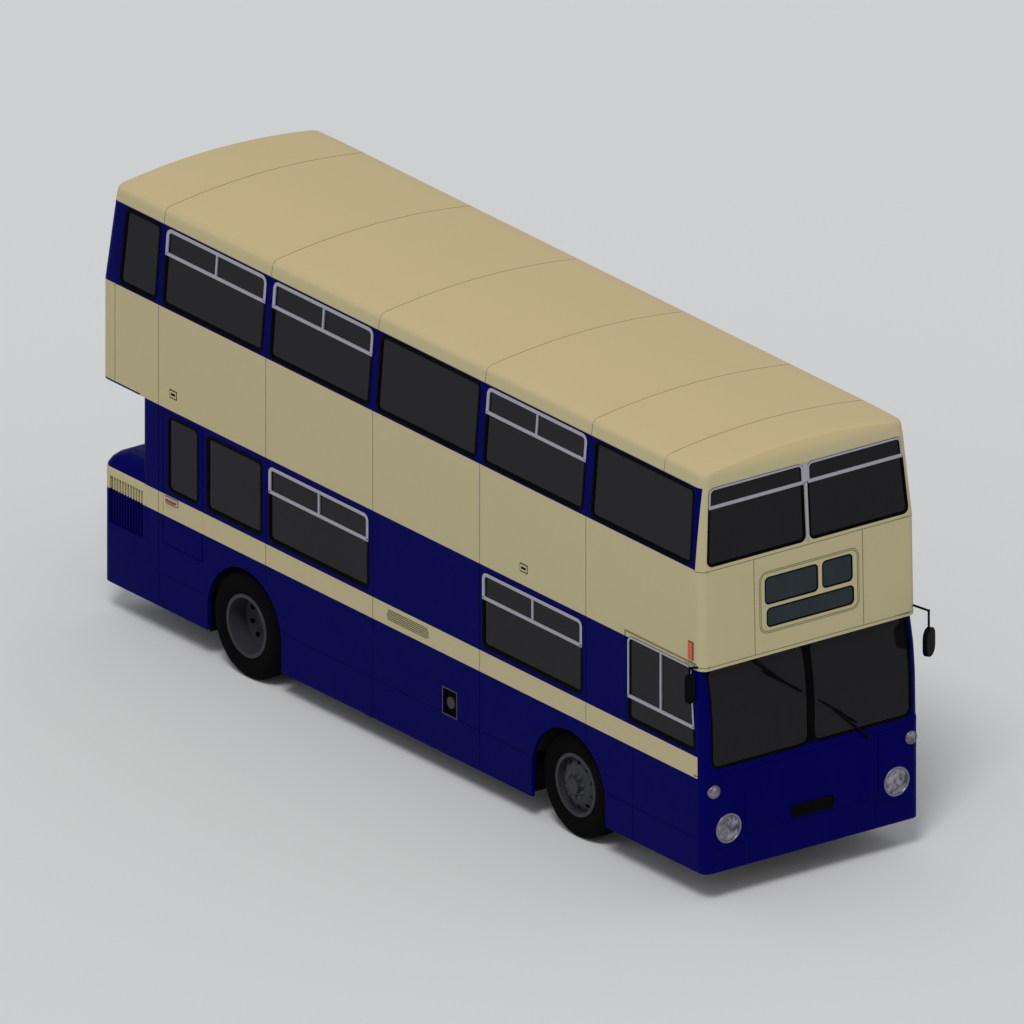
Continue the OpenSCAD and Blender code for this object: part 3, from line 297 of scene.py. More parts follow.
def shoulder_cuts(i, r, w):
    """Every fourth segment is a slot across the tread's shoulder."""
    return 0.009 if i % 4 == 0 and r > 0.512 and 0.069 < abs(w) < 0.094 else 0.0


for body, node, _, x, _, places in wheels:
    tyres = bmesh.new()
    for y in places:
        turned(tyres, tread_section(), (x, axle_z), y, 240, shoulder_cuts)
    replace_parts(into_piece(node + "_treaded", tyres, [tyre_rubber], body, sharp=24), node)


def set_out(tree, taken, given, shape, **turn):
    """Stands a copy of a shape on each place, as plain mesh in its finish."""
    spread = put(tree, "GeometryNodeInstanceOnPoints", {"Points": taken["Places"], "Instance": shape, **turn})
    solid = put(tree, "GeometryNodeRealizeInstances", {"Geometry": spread["Instances"]})
    coat = put(tree, "GeometryNodeSetMaterial", {"Geometry": solid["Geometry"], "Material": taken["Finish"]})
    tree.links.new(coat["Geometry"], given)


# A stud, nut or rivet: one small turned head, set on each place and turned to face outwards.
heads, taken, given = new_group(
    "fastener_heads", "Geometry", {"Places": "Geometry", "Radius": "Float", "Crown": "Float",
                                   "Height": "Float", "Sides": "Int", "Finish": "Material"},
    {"Heads": "Geometry"})
head = put(heads, "GeometryNodeMeshCone", {"Vertices": taken["Sides"], "Radius Bottom": taken["Radius"],
                                           "Radius Top": taken["Crown"], "Depth": taken["Height"]})
facing = put(heads, "GeometryNodeInputNamedAttribute", {"Name": "facing"}, data_type="FLOAT_VECTOR")
aim = put(heads, "FunctionNodeAlignRotationToVector", {"Vector": facing["Attribute"]}, axis="Z")
set_out(heads, taken, given["Heads"], head["Mesh"], Rotation=aim["Rotation"])


def grown(name, tree, places, faces, body, slot, **sizes):
    """Runs a node tree on a list of places, and keeps the result as a plain mesh."""
    seeds = bpy.data.meshes.new(name + "_places")
    seeds.from_pydata(places, [], [])
    facing = seeds.attributes.new("facing", "FLOAT_VECTOR", "POINT")
    for i in range(len(places)):
        facing.data[i].vector = faces if isinstance(faces, Vector) else faces[i]
    seed = in_scene(name + "_places", seeds)
    grow = seed.modifiers.new("grow", "NODES")
    grow.node_group = tree
    for socket in tree.interface.items_tree:
        if socket.in_out == "INPUT" and socket.name in sizes:
            grow[socket.identifier] = sizes[socket.name]
    seed.update_tag()
    ready = seed.evaluated_get(bpy.context.evaluated_depsgraph_get())
    thing = in_scene(name, bpy.data.meshes.new_from_object(ready))
    bpy.data.objects.remove(seed)
    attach(thing, body)


nuts, stud_circle = 10, 0.1225
for body, _, node, x, face, (y, *_) in wheels:
    eased(node, body, wheel_grey, 0.0022, 30)
    out = Vector((0, math.copysign(1, y), 0))
    turns = [2 * math.pi * k / nuts for k in range(nuts)]
    ring = [Vector((x + stud_circle * math.sin(a), y, axle_z + stud_circle * math.cos(a))) + out * face
            for a in turns]
    for part, radius, crown, height, sides in (("_nuts", 0.0165, 0.0150, 0.020, 6),
                                               ("_studs", 0.0085, 0.0075, 0.034, 10)):
        grown(node + part, heads, ring, out, body, "wheel",
              Radius=radius, Crown=crown, Height=height, Sides=sides, Finish=nut_steel)

# ------------------------------------------------------------------ engine and fuel tank
# A horizontal-shaft diesel lies across the tail as one unit, in engine grey; the tank is a
# folded and welded steel box slung from an outrigger, in black.

engine_grey = worn_finish("engine_grey", (92, 100, 104), (52, 44, 34), 1.6, 0.45, 0.5, 240, 0.0006, 0.15)
tank_black = worn_finish("tank_black", (26, 26, 28), (92, 82, 68), 0.9, 0.3, 0.5, 200, 0.0003)
low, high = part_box("engine")
rear, front = low.x, high.x
block_box = bmesh.new()


def cast_box(made, x0, x1, y0, y1, z0, z1, finish=0):
    """A closed box between two corners."""
    for v in bmesh.ops.create_cube(made, size=1)["verts"]:
        v.co = Vector(((x0, x1)[v.co.x > 0], (y0, y1)[v.co.y > 0], (z0, z1)[v.co.z > 0]))
        for face in v.link_faces:
            face.material_index = finish


for x0, x1, y0, y1, z0, z1 in (
        (0.05, -0.04, -0.52, 0.46, 0.62, 1.02),           # crankcase
        (0.09, -0.09, -0.46, 0.40, low.z, 0.63),          # sump
        (0.10, -0.10, -0.48, 0.42, 1.01, 1.20),           # cylinder heads
        (0.14, -0.14, -0.46, 0.40, 1.19, 1.30),           # rocker cover
        (0.04, -0.06, 0.46, high.y, 0.60, 1.00),          # gearbox
        (0.02, -0.02, low.y, -0.60, 0.60, 1.30)):         # radiator
    cast_box(block_box, rear + x0, front + x1, y0, y1, z0, z1)
for x, z, radius, y0, y1 in (
        ((rear + front) / 2, 0.80, 0.19, -0.60, -0.52),   # fan pulley
        ((rear + front) / 2, 0.84, 0.22, 0.44, 0.52),     # bell housing
        (rear + 0.06, 1.22, 0.06, -0.40, 0.30),           # air intake
        (rear + 0.10, 0.72, 0.06, -0.30, 0.10)):          # starter
    chamfer = radius - 0.006
    turned(block_box, [(0.002, y0), (chamfer, y0), (radius, y0 + 0.006), (radius, y1 - 0.006), (chamfer, y1),
                       (0.002, y1)], (x, z), 0, 40)
for k in range(6):                                        # exhaust branches and manifold
    y = -0.42 + 0.14 * k
    cast_box(block_box, rear + 0.045, rear + 0.16, y, y + 0.05, 0.98, 1.17)
cast_box(block_box, rear + 0.02, rear + 0.08, -0.46, 0.38, 1.04, 1.12)
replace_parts(into_piece("engine_unit", block_box, [engine_grey], "body", 0.008), "engine")
eased("fuel_tank", "body", tank_black, 0.008)

# ------------------------------------------------------------------ floors and stairs
# Plywood floors under dark ribbed vinyl, steel wheel boxes, and a pressed steel staircase with
# a bright ribbed nosing along the edge of every tread.

vinyl, tree, coat, place = new_finish("ribbed_vinyl", (62, 60, 60), 0.62)
under_film(tree, coat, place, paint_code((62, 60, 60)), (112, 102, 86), 9.0, 0.25, 0.6)
ribbing = put(tree, "ShaderNodeTexWave", {"Vector": place, "Scale": 12, "Distortion": 0}, bands_direction="Y")
bumped(tree, coat, ribbing["Color"], 0.0015)
nosing_metal = worn_finish("nosing_metal", (150, 148, 146), (92, 84, 72), 9.0, 0.4, 0.4, 300, 0.0003, 0.6)

for node, edge in (("entrance_floor", 0.003), ("lower_floor", 0.003), ("upper_floor", 0.003),
                   ("entrance_step", 0.004), ("staircase", 0.003)):
    eased(node, "body", vinyl, edge)

boxes = cleaned("wheel_boxes")
for face in boxes.faces:
    at = face.calc_center_median()
    axle_x = min((front_axle_x, rear_axle_x), key=lambda x: abs(x - at.x))
    hub = Vector((axle_x, math.copysign(1.0, at.y), 0.5))
    face.material_index = int(face.normal.dot(at - hub) < 0)
boxes = into_piece("wheel_boxes_lined", boxes, [vinyl, chassis_black], "body", 0.006)
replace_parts(boxes, "wheel_boxes")

flaps = bmesh.new()
for axle, reach in ((front_axle_x, 0.606), (rear_axle_x, 0.594)):
    for y0, y1 in ((-1.205, -0.80), (0.80, 1.205)):
        cast_box(flaps, axle - reach, axle - reach + 0.008, y0, y1, 0.27, 0.655)
into_piece("mud_flaps", flaps, [tyre_rubber], "body", 0.002)

nosings = bmesh.new()
stair_low, stair_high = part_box("staircase")
floor_z, upper_floor_z, risers = 0.660, 2.540, 8
rise = (upper_floor_z - floor_z) / risers
top_x = front_x - 3.624
tread = 1.453 / (risers - 1)
for i in range(1, risers):
    x, z = top_x - (risers - i) * tread, floor_z + i * rise
    cast_box(nosings, x - 0.003, x + 0.035, stair_low.y + 0.026, stair_high.y - 0.026, z - 0.028, z + 0.003)
step_low, step_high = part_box("entrance_step")
for y0, y1, z0, z1 in ((0.672, 0.702, floor_z - 0.03, floor_z + 0.003),
                       (step_high.y - 0.030, step_high.y - 0.002, 0.3905, 0.394)):
    cast_box(nosings, step_low.x + 0.03, step_high.x - 0.03, y0, y1, z0, z1)
into_piece("step_nosings", nosings, [nosing_metal], "body", 0.0015)

# ------------------------------------------------------------------ coachwork panels
# Aluminium and glass-fibre panels riveted to steel pillars, sprayed in gloss coach paint:
# navy below, a cream waist band, cream between the decks, navy round the upper windows
# and a cream roof. Inside they are lined with pale laminate.

cream = (186, 176, 137)
navy = (2, 2, 82)
deck_top_z, gutter_z = 3.313, 4.108          # the upper edge of the cream band, and the roof's lower edge


def between(tree, value, low, high):
    above = reckon(tree, "GREATER_THAN", value, low)
    return reckon(tree, "MULTIPLY", above, reckon(tree, "LESS_THAN", value, high))


# Where the sign-writer's masking tape goes: 1 is cream, 0 is navy. Over the top of the roof the cream is
# painted warmer and lighter: painted light from above.
livery, taken, given = new_group("livery", "Shader", {"Place": "Vector", "Cream": "Color", "Navy": "Color"},
                                 {"Colour": "Color", "Cream mask": "Float"})
bus_x, _, bus_z = put(livery, "ShaderNodeSeparateXYZ", {0: taken["Place"]})
waist = reckon(livery, "MULTIPLY", between(livery, bus_z, 1.240, 1.454),
               between(livery, bus_x, front_x - 9.305, front_x - 0.114))
tail_edge = reckon(livery, "MULTIPLY", between(livery, bus_z, 2.3, 2.336),
                   between(livery, bus_x, -5, front_x - 8.74))
deck = reckon(livery, "SUBTRACT", between(livery, bus_z, 2.3175, deck_top_z), tail_edge)
top = between(livery, bus_z, gutter_z, 9)
nose = reckon(livery, "MULTIPLY", between(livery, bus_z, 3.3, 4.2),
              between(livery, bus_x, front_x - 0.1535, 9))
# Painted light: from the roof's shoulder upwards the cream turns warmer and lighter, as if lit from above.
roof_light_share = put(livery, "ShaderNodeMapRange", {"Value": bus_z, "From Min": 4.17, "From Max": 4.27})[0]
lit_roof_cream = put(livery, "ShaderNodeMix", {0: roof_light_share, 6: taken["Cream"], 7: (1.2, 1.085, 1.015, 1)},
             data_type="RGBA", blend_type="MULTIPLY")[2]
mask = reckon(livery, "MAXIMUM", reckon(livery, "MAXIMUM", waist, deck), reckon(livery, "MAXIMUM", top, nose))
feed(livery, given, {"Cream mask": mask, "Colour": mixed(livery, mask, taken["Navy"], lit_roof_cream)})


def coach_finish(name, shade, gloss):
    made, tree, coat, place = new_finish(name, cream, gloss)
    coat["Specular IOR Level"].default_value = 0.018
    painted = effect(tree, livery, Place=place, Cream=paint_code([c * shade for c in cream]),
                     Navy=paint_code([c * shade for c in navy]))["Colour"]
    under_film(tree, coat, place, painted, (70, 64, 60), 0.95, 0.025, gloss)
    roughen(tree, coat, place, 180, 0.00012)
    return made


coach_paint = coach_finish("coach_paint", 1.0, 0.36)
lining = worn_finish("lining_laminate", (176, 170, 152), (120, 112, 96), 0.6, 0.2, 0.5, 420, 0.0002)
glass, tree, coat, place = new_finish("tinted_glass", (22, 21, 25), 0.04)
feed(tree, coat, {"Transmission Weight": 0.22, "IOR": 1.45, "Specular IOR Level": 0.10})
under_film(tree, coat, place, paint_code((22, 21, 25)), (60, 58, 56), 1.8, 0.05, 0.04)


def coach_panel(node, body, inside, window=None, edge=0.0025):
    """A panel's own shape, painted outside, lined inside, and glazed where window says."""
    made = cleaned(node)
    for face in made.faces:
        at, out = face.calc_center_median(), face.normal
        lined = ("y" in inside and abs(at.y) > 1.0 and out.y * at.y < -0.5
                 or "x" in inside and abs(at.x) > 4.0 and out.x * at.x < -0.5 * abs(at.x)
                 or "z" in inside and out.z < -0.5)
        face.material_index = 2 if window and window(face) else int(lined)
    piece = into_piece(node + "_finished", made, [coach_paint, lining, glass], body, edge)
    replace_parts(piece, node)
    return piece


for node, inside, slot in (
        ("offside_lower_panel", "y", "blue_paint"), ("nearside_lower_panel", "y", "blue_paint"),
        ("offside_upper_panel", "y", "cream_paint"), ("nearside_upper_panel", "y", "cream_paint"),
        ("front_lower_panel", "xy", "blue_paint"), ("front_upper_panel", "xy", "cream_paint"),
        ("rear_upper_panel", "xy", "cream_paint"), ("saloon_rear_wall", "x", "cream_paint"),
        ("pod_offside_panel", "", "blue_paint"), ("pod_nearside_panel", "", "blue_paint"),
        ("rear_valance", "", "blue_paint"), ("roof", "z", "cream_paint")):
    coach_panel(node, "body", inside)
coach_panel("engine_bonnet", "engine_bonnet", "")
coach_panel("side_grilles", "body", "", edge=0.0015)

# ------------------------------------------------------------------ panel joints and rivets
# The panels meet on the pillars under narrow cover strips, painted over with the body in a tone a third
# darker; a row of dome-headed rivets in the same darker tone holds the tail pod and the foot of the front
# panel.

seam_paint = coach_finish("seam_paint", 0.66, 0.5)
skins = []
for node in ("offside_lower_panel", "nearside_lower_panel", "offside_upper_panel", "nearside_upper_panel",
             "front_lower_panel", "front_upper_panel", "rear_upper_panel", "saloon_rear_wall",
             "pod_offside_panel", "pod_nearside_panel", "rear_valance", "roof", "engine_bonnet"):
    outer = bmesh.new()
    outer.from_mesh(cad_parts[node].data)
    skins.append(BVHTree.FromBMesh(outer))
    outer.free()


def on_skin(start, way):
    """The nearest point of the body's skin from start along way, and the way that it faces."""
    way = way.normalized()
    hits = [hit for hit in (skin.ray_cast(start, way) for skin in skins) if hit[0] is not None]
    if not hits:
        return None
    place, out, _, _ = min(hits, key=lambda hit: hit[3])
    return place, (out if out.dot(way) < 0 else -out)


def traced(starts, ways, depth):
    """A path on the skin, in runs that stop where the skin drops away into an opening."""
    runs, run = [], []
    for start, way in zip(starts, ways):
        hit = on_skin(start, way)
        if hit is None or run and abs((hit[0] - run[-1][0]).dot(hit[1] + run[-1][1])) > depth * 2:
            runs.append(run)
            run = []
        if hit is not None:
            run.append(hit)
    return [run for run in runs + [run] if len(run) > 1]


def swept(made, path, outs, section, closed):
    """Adds a section (side, proud) swept along a path that lies on a surface facing outs."""
    rings, n = [], len(path)
    outs = [outs] * n if isinstance(outs, Vector) else outs
    for i, point in enumerate(path):
        back = path[i - 1] if closed or i else None
        ahead = path[(i + 1) % n] if closed or i < n - 1 else None
        a = (point - back).normalized() if back else (ahead - point).normalized()
        b = (ahead - point).normalized() if ahead else a
        along = (a + b).normalized()
        mitre = 1 / max(0.35, along.dot(b))
        out = (outs[i] - along * outs[i].dot(along)).normalized()
        side = along.cross(out)
        rings.append([made.verts.new(point + side * s * mitre + out * h) for s, h in section])
    fresh = skinned(made, rings, closed)
    if not closed:
        fresh += [made.faces.new(rings[0]), made.faces.new(list(reversed(rings[-1])))]
    bmesh.ops.recalc_face_normals(made, faces=fresh)


strip = [(-0.0042, -0.0008), (-0.0042, 0.0007), (-0.0028, 0.0013), (0.0028, 0.0013), (0.0042, 0.0007),
         (0.0042, -0.0008)]
seams = bmesh.new()


def laid(made, starts, ways, section=strip, depth=0.020):
    """A section swept over the skin, wherever the skin is unbroken."""
    ways = [ways] * len(starts) if isinstance(ways, Vector) else ways
    for run in traced(starts, ways, depth):
        path, outs = zip(*run)
        swept(made, path, outs, section, False)


def side_seam(side, *points):
    """A joint on one side, through points given as (x, z)."""
    laid(seams, [Vector((x, side * 3, z)) for x, z in points], Vector((0, -side, 0)))


pillar_ds = (8.454, 6.795, 5.138, 3.486, 1.841)          # behind the front panel
for side in (-1, 1):
    uprights = [(d, 0.262, 3.31) for d in pillar_ds] + [(9.128, 2.345, 3.31)]
    if side < 0:
        uprights += [(1.118, 0.262, 1.236)]
    for d, z0, z1 in uprights:
        side_seam(side, *[(front_x - d, z0 + (z1 - z0) * i / 24) for i in range(25)])
    side_seam(side, *[(front_x - 0.16 - 8.36 * i / 160, 0.643) for i in range(161)])
    side_seam(side, *[(front_x - 0.16 - 9.0 * i / 60, gutter_z) for i in range(61)])
for d in pillar_ds + (0.72,):
    sweep = [math.radians(-54.5 + 109 * i / 120) for i in range(121)]
    laid(seams, [Vector((front_x - d, 3 * math.sin(a), 3.2 + 3 * math.cos(a))) for a in sweep],
         [Vector((0, -math.sin(a), -math.cos(a))) for a in sweep])
into_piece("panel_joints", seams, [seam_paint], "body", sharp=50)

rivets = []
for side in (-1, 1):
    for k in range(21):
        z = 0.36 + 0.06 * k
        d = 8.572 + 0.0191 * min(z, 1.045) + 0.214 * max(0.0, z - 1.045)
        rivets.append(on_skin(Vector((front_x - d, side * 3, z)), Vector((0, -side, 0))))
for k in range(28):
    rivets.append(on_skin(Vector((9, -1.08 + 0.08 * k, 1.297)), Vector((-1, 0, 0))))
rivet_places, rivet_faces = zip(*[rivet for rivet in rivets if rivet])
grown("panel_rivets", heads, rivet_places, rivet_faces, "body", "blue_paint",
      Radius=0.0055, Crown=0.0028, Height=0.0026, Sides=10, Finish=seam_paint)

# ------------------------------------------------------------------ window glass and rubbers
# Toughened tinted panes held in moulded black rubber glazing section, which clips over the
# edge of the panel; the pane's edge lies in its groove.

rubber = worn_finish("glazing_rubber", (2, 2, 2), (16, 15, 14), 1.5, 0.06, 0.7, 300, 0.0003, sheen=0.04)


def rim_of(skin):
    """The edge of a patch of faces, as points and the way that the patch faces at each."""
    follow = {}
    for f in skin:
        for loop in f.loops:
            if sum(o in skin for o in loop.edge.link_faces) == 1:
                follow[loop.vert] = loop.link_loop_next.vert
    start = next(iter(follow))
    loop, vert = [start], follow[start]
    while vert is not start:
        loop.append(vert)
        vert = follow[vert]
    outs = [sum((f.normal * f.calc_area() for f in v.link_faces if f in skin), Vector()).normalized()
            for v in loop]
    kept = [i for i, v in enumerate(loop) if (v.co - loop[i - 1].co).length > 1e-4]
    return [loop[i].co.copy() for i in kept], [outs[i] for i in kept]


def pane_outlines(node, ways):
    """The outer edge of each pane of a node, with the way the glass faces at each point."""
    made = bmesh.new()
    made.from_mesh(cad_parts[node].data)
    bmesh.ops.remove_doubles(made, verts=made.verts, dist=2e-5)
    unseen, found = set(made.faces), []
    while unseen:
        pane, todo = set(), [unseen.pop()]
        while todo:
            face = todo.pop()
            pane.add(face)
            for e in face.edges:
                for other in e.link_faces:
                    if other in unseen:
                        unseen.discard(other)
                        todo.append(other)
        way = ways(sum((f.calc_center_median() for f in pane), Vector()))
        skin = {f for f in pane if f.normal.dot(way) > 0.6}
        found.append(rim_of(skin))
    made.free()
    return found


rubber_section = [(-0.040, 0.0004), (-0.040, 0.0035), (-0.034, 0.0085), (-0.016, 0.0125), (-0.002, 0.0140),
                  (0.0025, 0.0125), (0.0025, 0.0102), (-0.0006, 0.0100), (-0.0006, 0.0004)]
screen_section = [(s * 0.62, h) for s, h in rubber_section[:5]] + rubber_section[5:]
side_panes = pane_outlines("side_glass", lambda at: Vector((0, math.copysign(1, at.y), 0)))
front_panes = pane_outlines("front_glass", lambda at: Vector((1, 0, 0)))
rear_panes = pane_outlines("rear_glass", lambda at: Vector((-1, 0, 0)))
dressed(glass, "side_glass", "front_glass", "rear_glass")
destination_pane = next(pane for pane in front_panes if 2.5 < min(p.z for p in pane[0]) < 3.2)
screens = [pane for pane in front_panes if pane is not destination_pane]
rubbers = bmesh.new()
for path, outs in side_panes:
    swept(rubbers, path, outs, rubber_section, True)
for path, outs in screens + rear_panes:
    swept(rubbers, path, outs, screen_section, True)


def bridge(made, y0, y1, z0, z1, proud, steps=8):
    """A bar up the front between two panes, over the panel that shows between them."""
    half, low_proud = (y1 - y0) / 2, proud * 0.6
    laid(made, [Vector((9, (y0 + y1) / 2, z0 + (z1 - z0) * i / steps)) for i in range(steps + 1)],
         Vector((-1, 0, 0)),
         [(-half, -0.004), (-half, low_proud), (-half * 0.6, proud), (half * 0.6, proud), (half, low_proud),
          (half, -0.004)])


bridge(rubbers, -0.024, 0.024, 1.335, 2.312, 0.005)
into_piece("window_rubbers", rubbers, [rubber], "body", sharp=50)

# ------------------------------------------------------------------ opening top lights
# Extruded aluminium frames let into the upper part of some windows, with a transom and two
# small panes that slide past each other; they are left as natural satin metal.

bright, tree, coat, place = new_finish("satin_aluminium", (172, 170, 180), 0.42, 0.35)
streak = put(tree, "ShaderNodeMapping", {0: place, "Scale": (4, 4, 260)})[0]
tone = effect(tree, grain, Place=streak, Scale=3.0, Depth=1.0)["Tone"]
feed(tree, coat, {"Base Color": mixed(tree, tone, paint_code((150, 148, 158)), paint_code((178, 176, 186)))})
frame_section = [(-0.038, 0.0005), (-0.038, 0.0150), (-0.034, 0.0175), (-0.006, 0.0175), (-0.002, 0.0160),
                 (-0.002, 0.0005)]
bar_section = [(-0.016, 0.0005), (-0.016, 0.0150), (-0.012, 0.0175), (0.012, 0.0175), (0.016, 0.0150),
               (0.016, 0.0005)]
slim_section = [(s * 0.75, h * 0.92) for s, h in bar_section]


def cut_at(path, outs, z):
    """The part of a closed outline above z, as an open path with its ends at z."""
    n, ring, ways = len(path), [], []
    start = next(i for i in range(n) if path[i - 1].z < z <= path[i].z)
    for k in range(n):
        i, j = (start + k) % n, (start + k - 1) % n
        if (path[i].z >= z) != (path[j].z >= z):
            ring.append(path[j].lerp(path[i], (z - path[j].z) / (path[i].z - path[j].z)))
            ways.append(outs[i] if path[i].z >= z else outs[j])
        if path[i].z < z:
            break
        ring.append(path[i])
        ways.append(outs[i])
    return ring, ways


def top_light(made, path, outs, z, section, divider=0.5):
    """A frame round the part of a pane above z, with a transom and an upright at a share of its length."""
    ring, ways = cut_at(path, outs, z)
    swept(made, ring, ways, section, False)
    a, b = ring[0], ring[-1]
    inset = (b - a).normalized() * 0.003
    swept(made, [a + inset, b - inset], [ways[0], ways[-1]], bar_section, False)
    if divider:
        foot, out = a.lerp(b, divider), ways[0]
        up = (Vector((0, 0, 1)) - out * out.z).normalized()
        length = (max(p.z for p in ring) - foot.z) / up.z
        swept(made, [foot + up * 0.01, foot + up * (length - 0.02)], out, slim_section, False)


frames = bmesh.new()
for path, outs in side_panes:
    middle = front_x - (min(p.x for p in path) + max(p.x for p in path)) / 2
    upper, offside = path[0].z > 3, path[0].y < 0
    if upper and any(abs(middle - m) < 0.4 for m in (7.62, 5.97, 2.66)):
        top_light(frames, path, outs, 3.84, frame_section)
    elif not upper and any(abs(middle - m) < 0.4 for m in ((5.97, 2.67) if offside else (7.62, 4.3, 2.67))):
        top_light(frames, path, outs, 1.998, frame_section)
    elif not upper and offside and middle < 1:
        driver_pane = path, outs
for path, outs in screens:
    if path[0].z > 3.2:
        top_light(frames, path, outs, 3.912, [(s * 0.55, h) for s, h in frame_section], 0)

# The driver's side window has a transom low down and two framed sliding panes above it.
path, outs = driver_pane
top_light(frames, path, outs, 1.735, [(s * 0.62, h) for s, h in frame_section], 0)
upright = [Vector((front_x - 0.683, path[0].y, z)) for z in (1.745, 2.318)]
swept(frames, upright, Vector((0, -1, 0)), slim_section, False)
bridge(frames, -0.0285, 0.0285, 3.918, 4.096, 0.012)
bridge(frames, -0.015, 0.015, 3.345, 3.912, 0.012)
into_piece("top_light_frames", frames, [bright], "body", sharp=40)

# ------------------------------------------------------------------ doors
# Folded and welded aluminium leaves with fixed panes in rubber: two jack-knife pairs at the
# entrance, a hinged emergency door with a break-glass handle, and a top-hung upper exit.


def glazed_door(node, body, way, is_pane, inside, section):
    """A door with its glass, and the rubber round each face of the glass."""
    coach_panel(node, body, inside, is_pane)
    plain = bmesh.new()
    plain.from_mesh(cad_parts[node].data)
    bmesh.ops.remove_doubles(plain, verts=plain.verts, dist=2e-5)
    beads = bmesh.new()
    for side in (way, -way):
        rim = rim_of({f for f in plain.faces if is_pane(f) and f.normal.dot(side) > 0.6})
        swept(beads, *rim, section, True)
    plain.free()
    into_piece(node + "_rubbers", beads, [rubber], body, sharp=50)


def at_depths(*depths):
    return lambda face: all(min(abs(v.co.y - y) for y in depths) < 2e-4 for v in face.verts)


def pipe_section(r, n):
    return [(r * math.cos(2 * math.pi * k / n), r * math.sin(2 * math.pi * k / n)) for k in range(n)]


leaf_section = [(s * 0.45, h * 0.8) for s, h in rubber_section[:5]] + [
    (0.0025, 0.0100), (0.0025, 0.0081), (-0.0006, 0.0080), (-0.0006, 0.0004)]
near = Vector((0, 1, 0))
for leaf in ("front_door_outer_leaf", "front_door_inner_leaf", "rear_door_inner_leaf",
             "rear_door_outer_leaf"):
    glazed_door(leaf, leaf, near, at_depths(1.230, 1.222), "", leaf_section)
glazed_door("emergency_door", "emergency_door", -near, at_depths(-1.240, -1.232), "y",
            [(s * 0.75, h) for s, h in rubber_section[:5]] + rubber_section[5:])
glazed_door("upper_emergency_exit", "upper_emergency_exit", Vector((-1, 0, 0)),
            lambda face: abs(face.normal.x) > 0.9 and all(abs(v.co.y) < 0.4903 and 3.3817 < v.co.z < 4.0023
                                                          for v in face.verts),
            "x", screen_section)

handle_x, handle_z = front_x - 8.2465, 1.410
handle_red = worn_finish("handle_red", (150, 30, 24), (60, 40, 30), 2.0, 0.15, 0.4, 300, 0.0002)
handle_plate = worn_finish("handle_plate", (185, 180, 160), (90, 84, 70), 2.0, 0.15, 0.45, 300, 0.0002)
plate = bmesh.new()
for finish, half_l, half_h, y0, y1 in ((0, 0.0985, 0.037, -1.2515, -1.2495),
                                       (1, 0.090, 0.029, -1.2535, -1.2510)):
    cast_box(plate, handle_x - half_l, handle_x + half_l, y0, y1, handle_z - half_h, handle_z + half_h,
             finish)
into_piece("emergency_handle_plate", plate, [rubber, handle_plate], "emergency_door", 0.001)
grip = bmesh.new()
swept(grip, [Vector((handle_x + x, y, handle_z)) for x, y in
             ((-0.068, -1.252), (-0.066, -1.262), (-0.058, -1.268), (0.058, -1.268), (0.066, -1.262),
              (0.068, -1.252))],
      [Vector((x, -1, 0)) for x in (-1, -1, -0.5, 0.5, 1, 1)], pipe_section(0.009, 10), False)
into_piece("emergency_handle_bar", grip, [handle_red], "emergency_door")

# ------------------------------------------------------------------ front end
# The destination box shows through three small panes in a glass-fibre plate, above the
# windscreen, and painted strips cover the panel joints.

front_lean = [(0.245, 0.0), (1.300, 0.0), (1.330, 0.012), (1.750, 0.020), (2.020, 0.045), (2.318, 0.106)]
upper_lean = [(2.318, 0.045), (deck_top_z, 0.070), (gutter_z, 0.123)]


def front_at(y, z, lift=0.0, table=upper_lean):
    """A point on the front panel, lift outside it."""
    (z0, s0), (z1, s1) = next((a, b) for a, b in zip(table, table[1:]) if z <= b[0] or b is table[-1])
    return Vector((front_x - s0 - (s1 - s0) * (z - z0) / (z1 - z0) + lift, y, z))


def round_cornered(y0, y1, z0, z1, r, n=7):
    """An outline with rounded corners, as (side, height)."""
    corners = ((y1 - r, z1 - r, 0), (y0 + r, z1 - r, 90), (y0 + r, z0 + r, 180), (y1 - r, z0 + r, 270))
    return [(cy + r * math.cos(math.radians(a + 90 * k / n)), cz + r * math.sin(math.radians(a + 90 * k / n)))
            for cy, cz, a in corners for k in range(n + 1)]


def pierced_plate(made, outline, holes, place, depth):
    """A plate with holes, its face where place puts it, depth thick behind that."""
    old, edges = set(made.faces), []
    for ring in [outline] + holes:
        verts = [made.verts.new(place(y, z)) for y, z in ring]
        edges += [made.edges.new((verts[i - 1], verts[i])) for i in range(len(verts))]
    sheet = bmesh.ops.triangle_fill(made, use_beauty=True, use_dissolve=False, edges=edges)["geom"]
    front = [f for f in sheet if isinstance(f, bmesh.types.BMFace)]
    back = bmesh.ops.extrude_face_region(made, geom=front)["geom"]
    bmesh.ops.translate(made, vec=depth, verts=[v for v in back if isinstance(v, bmesh.types.BMVert)])
    bmesh.ops.recalc_face_normals(made, faces=[f for f in made.faces if f not in old])


blinds = [(-0.505, 0.108, 2.818, 3.085), (0.161, 0.508, 2.825, 3.092), (-0.488, 0.520, 2.592, 2.777)]
blinds = [round_cornered(*blind, 0.045) for blind in blinds]
plate = bmesh.new()
pierced_plate(plate, round_cornered(-0.5555, 0.5685, 2.5505, 3.1295, 0.078), blinds,
              lambda y, z: front_at(y, z, -0.0005), Vector((-0.0085, 0, 0)))
into_piece("destination_plate", plate, [coach_paint], "body", 0.0012, 60)

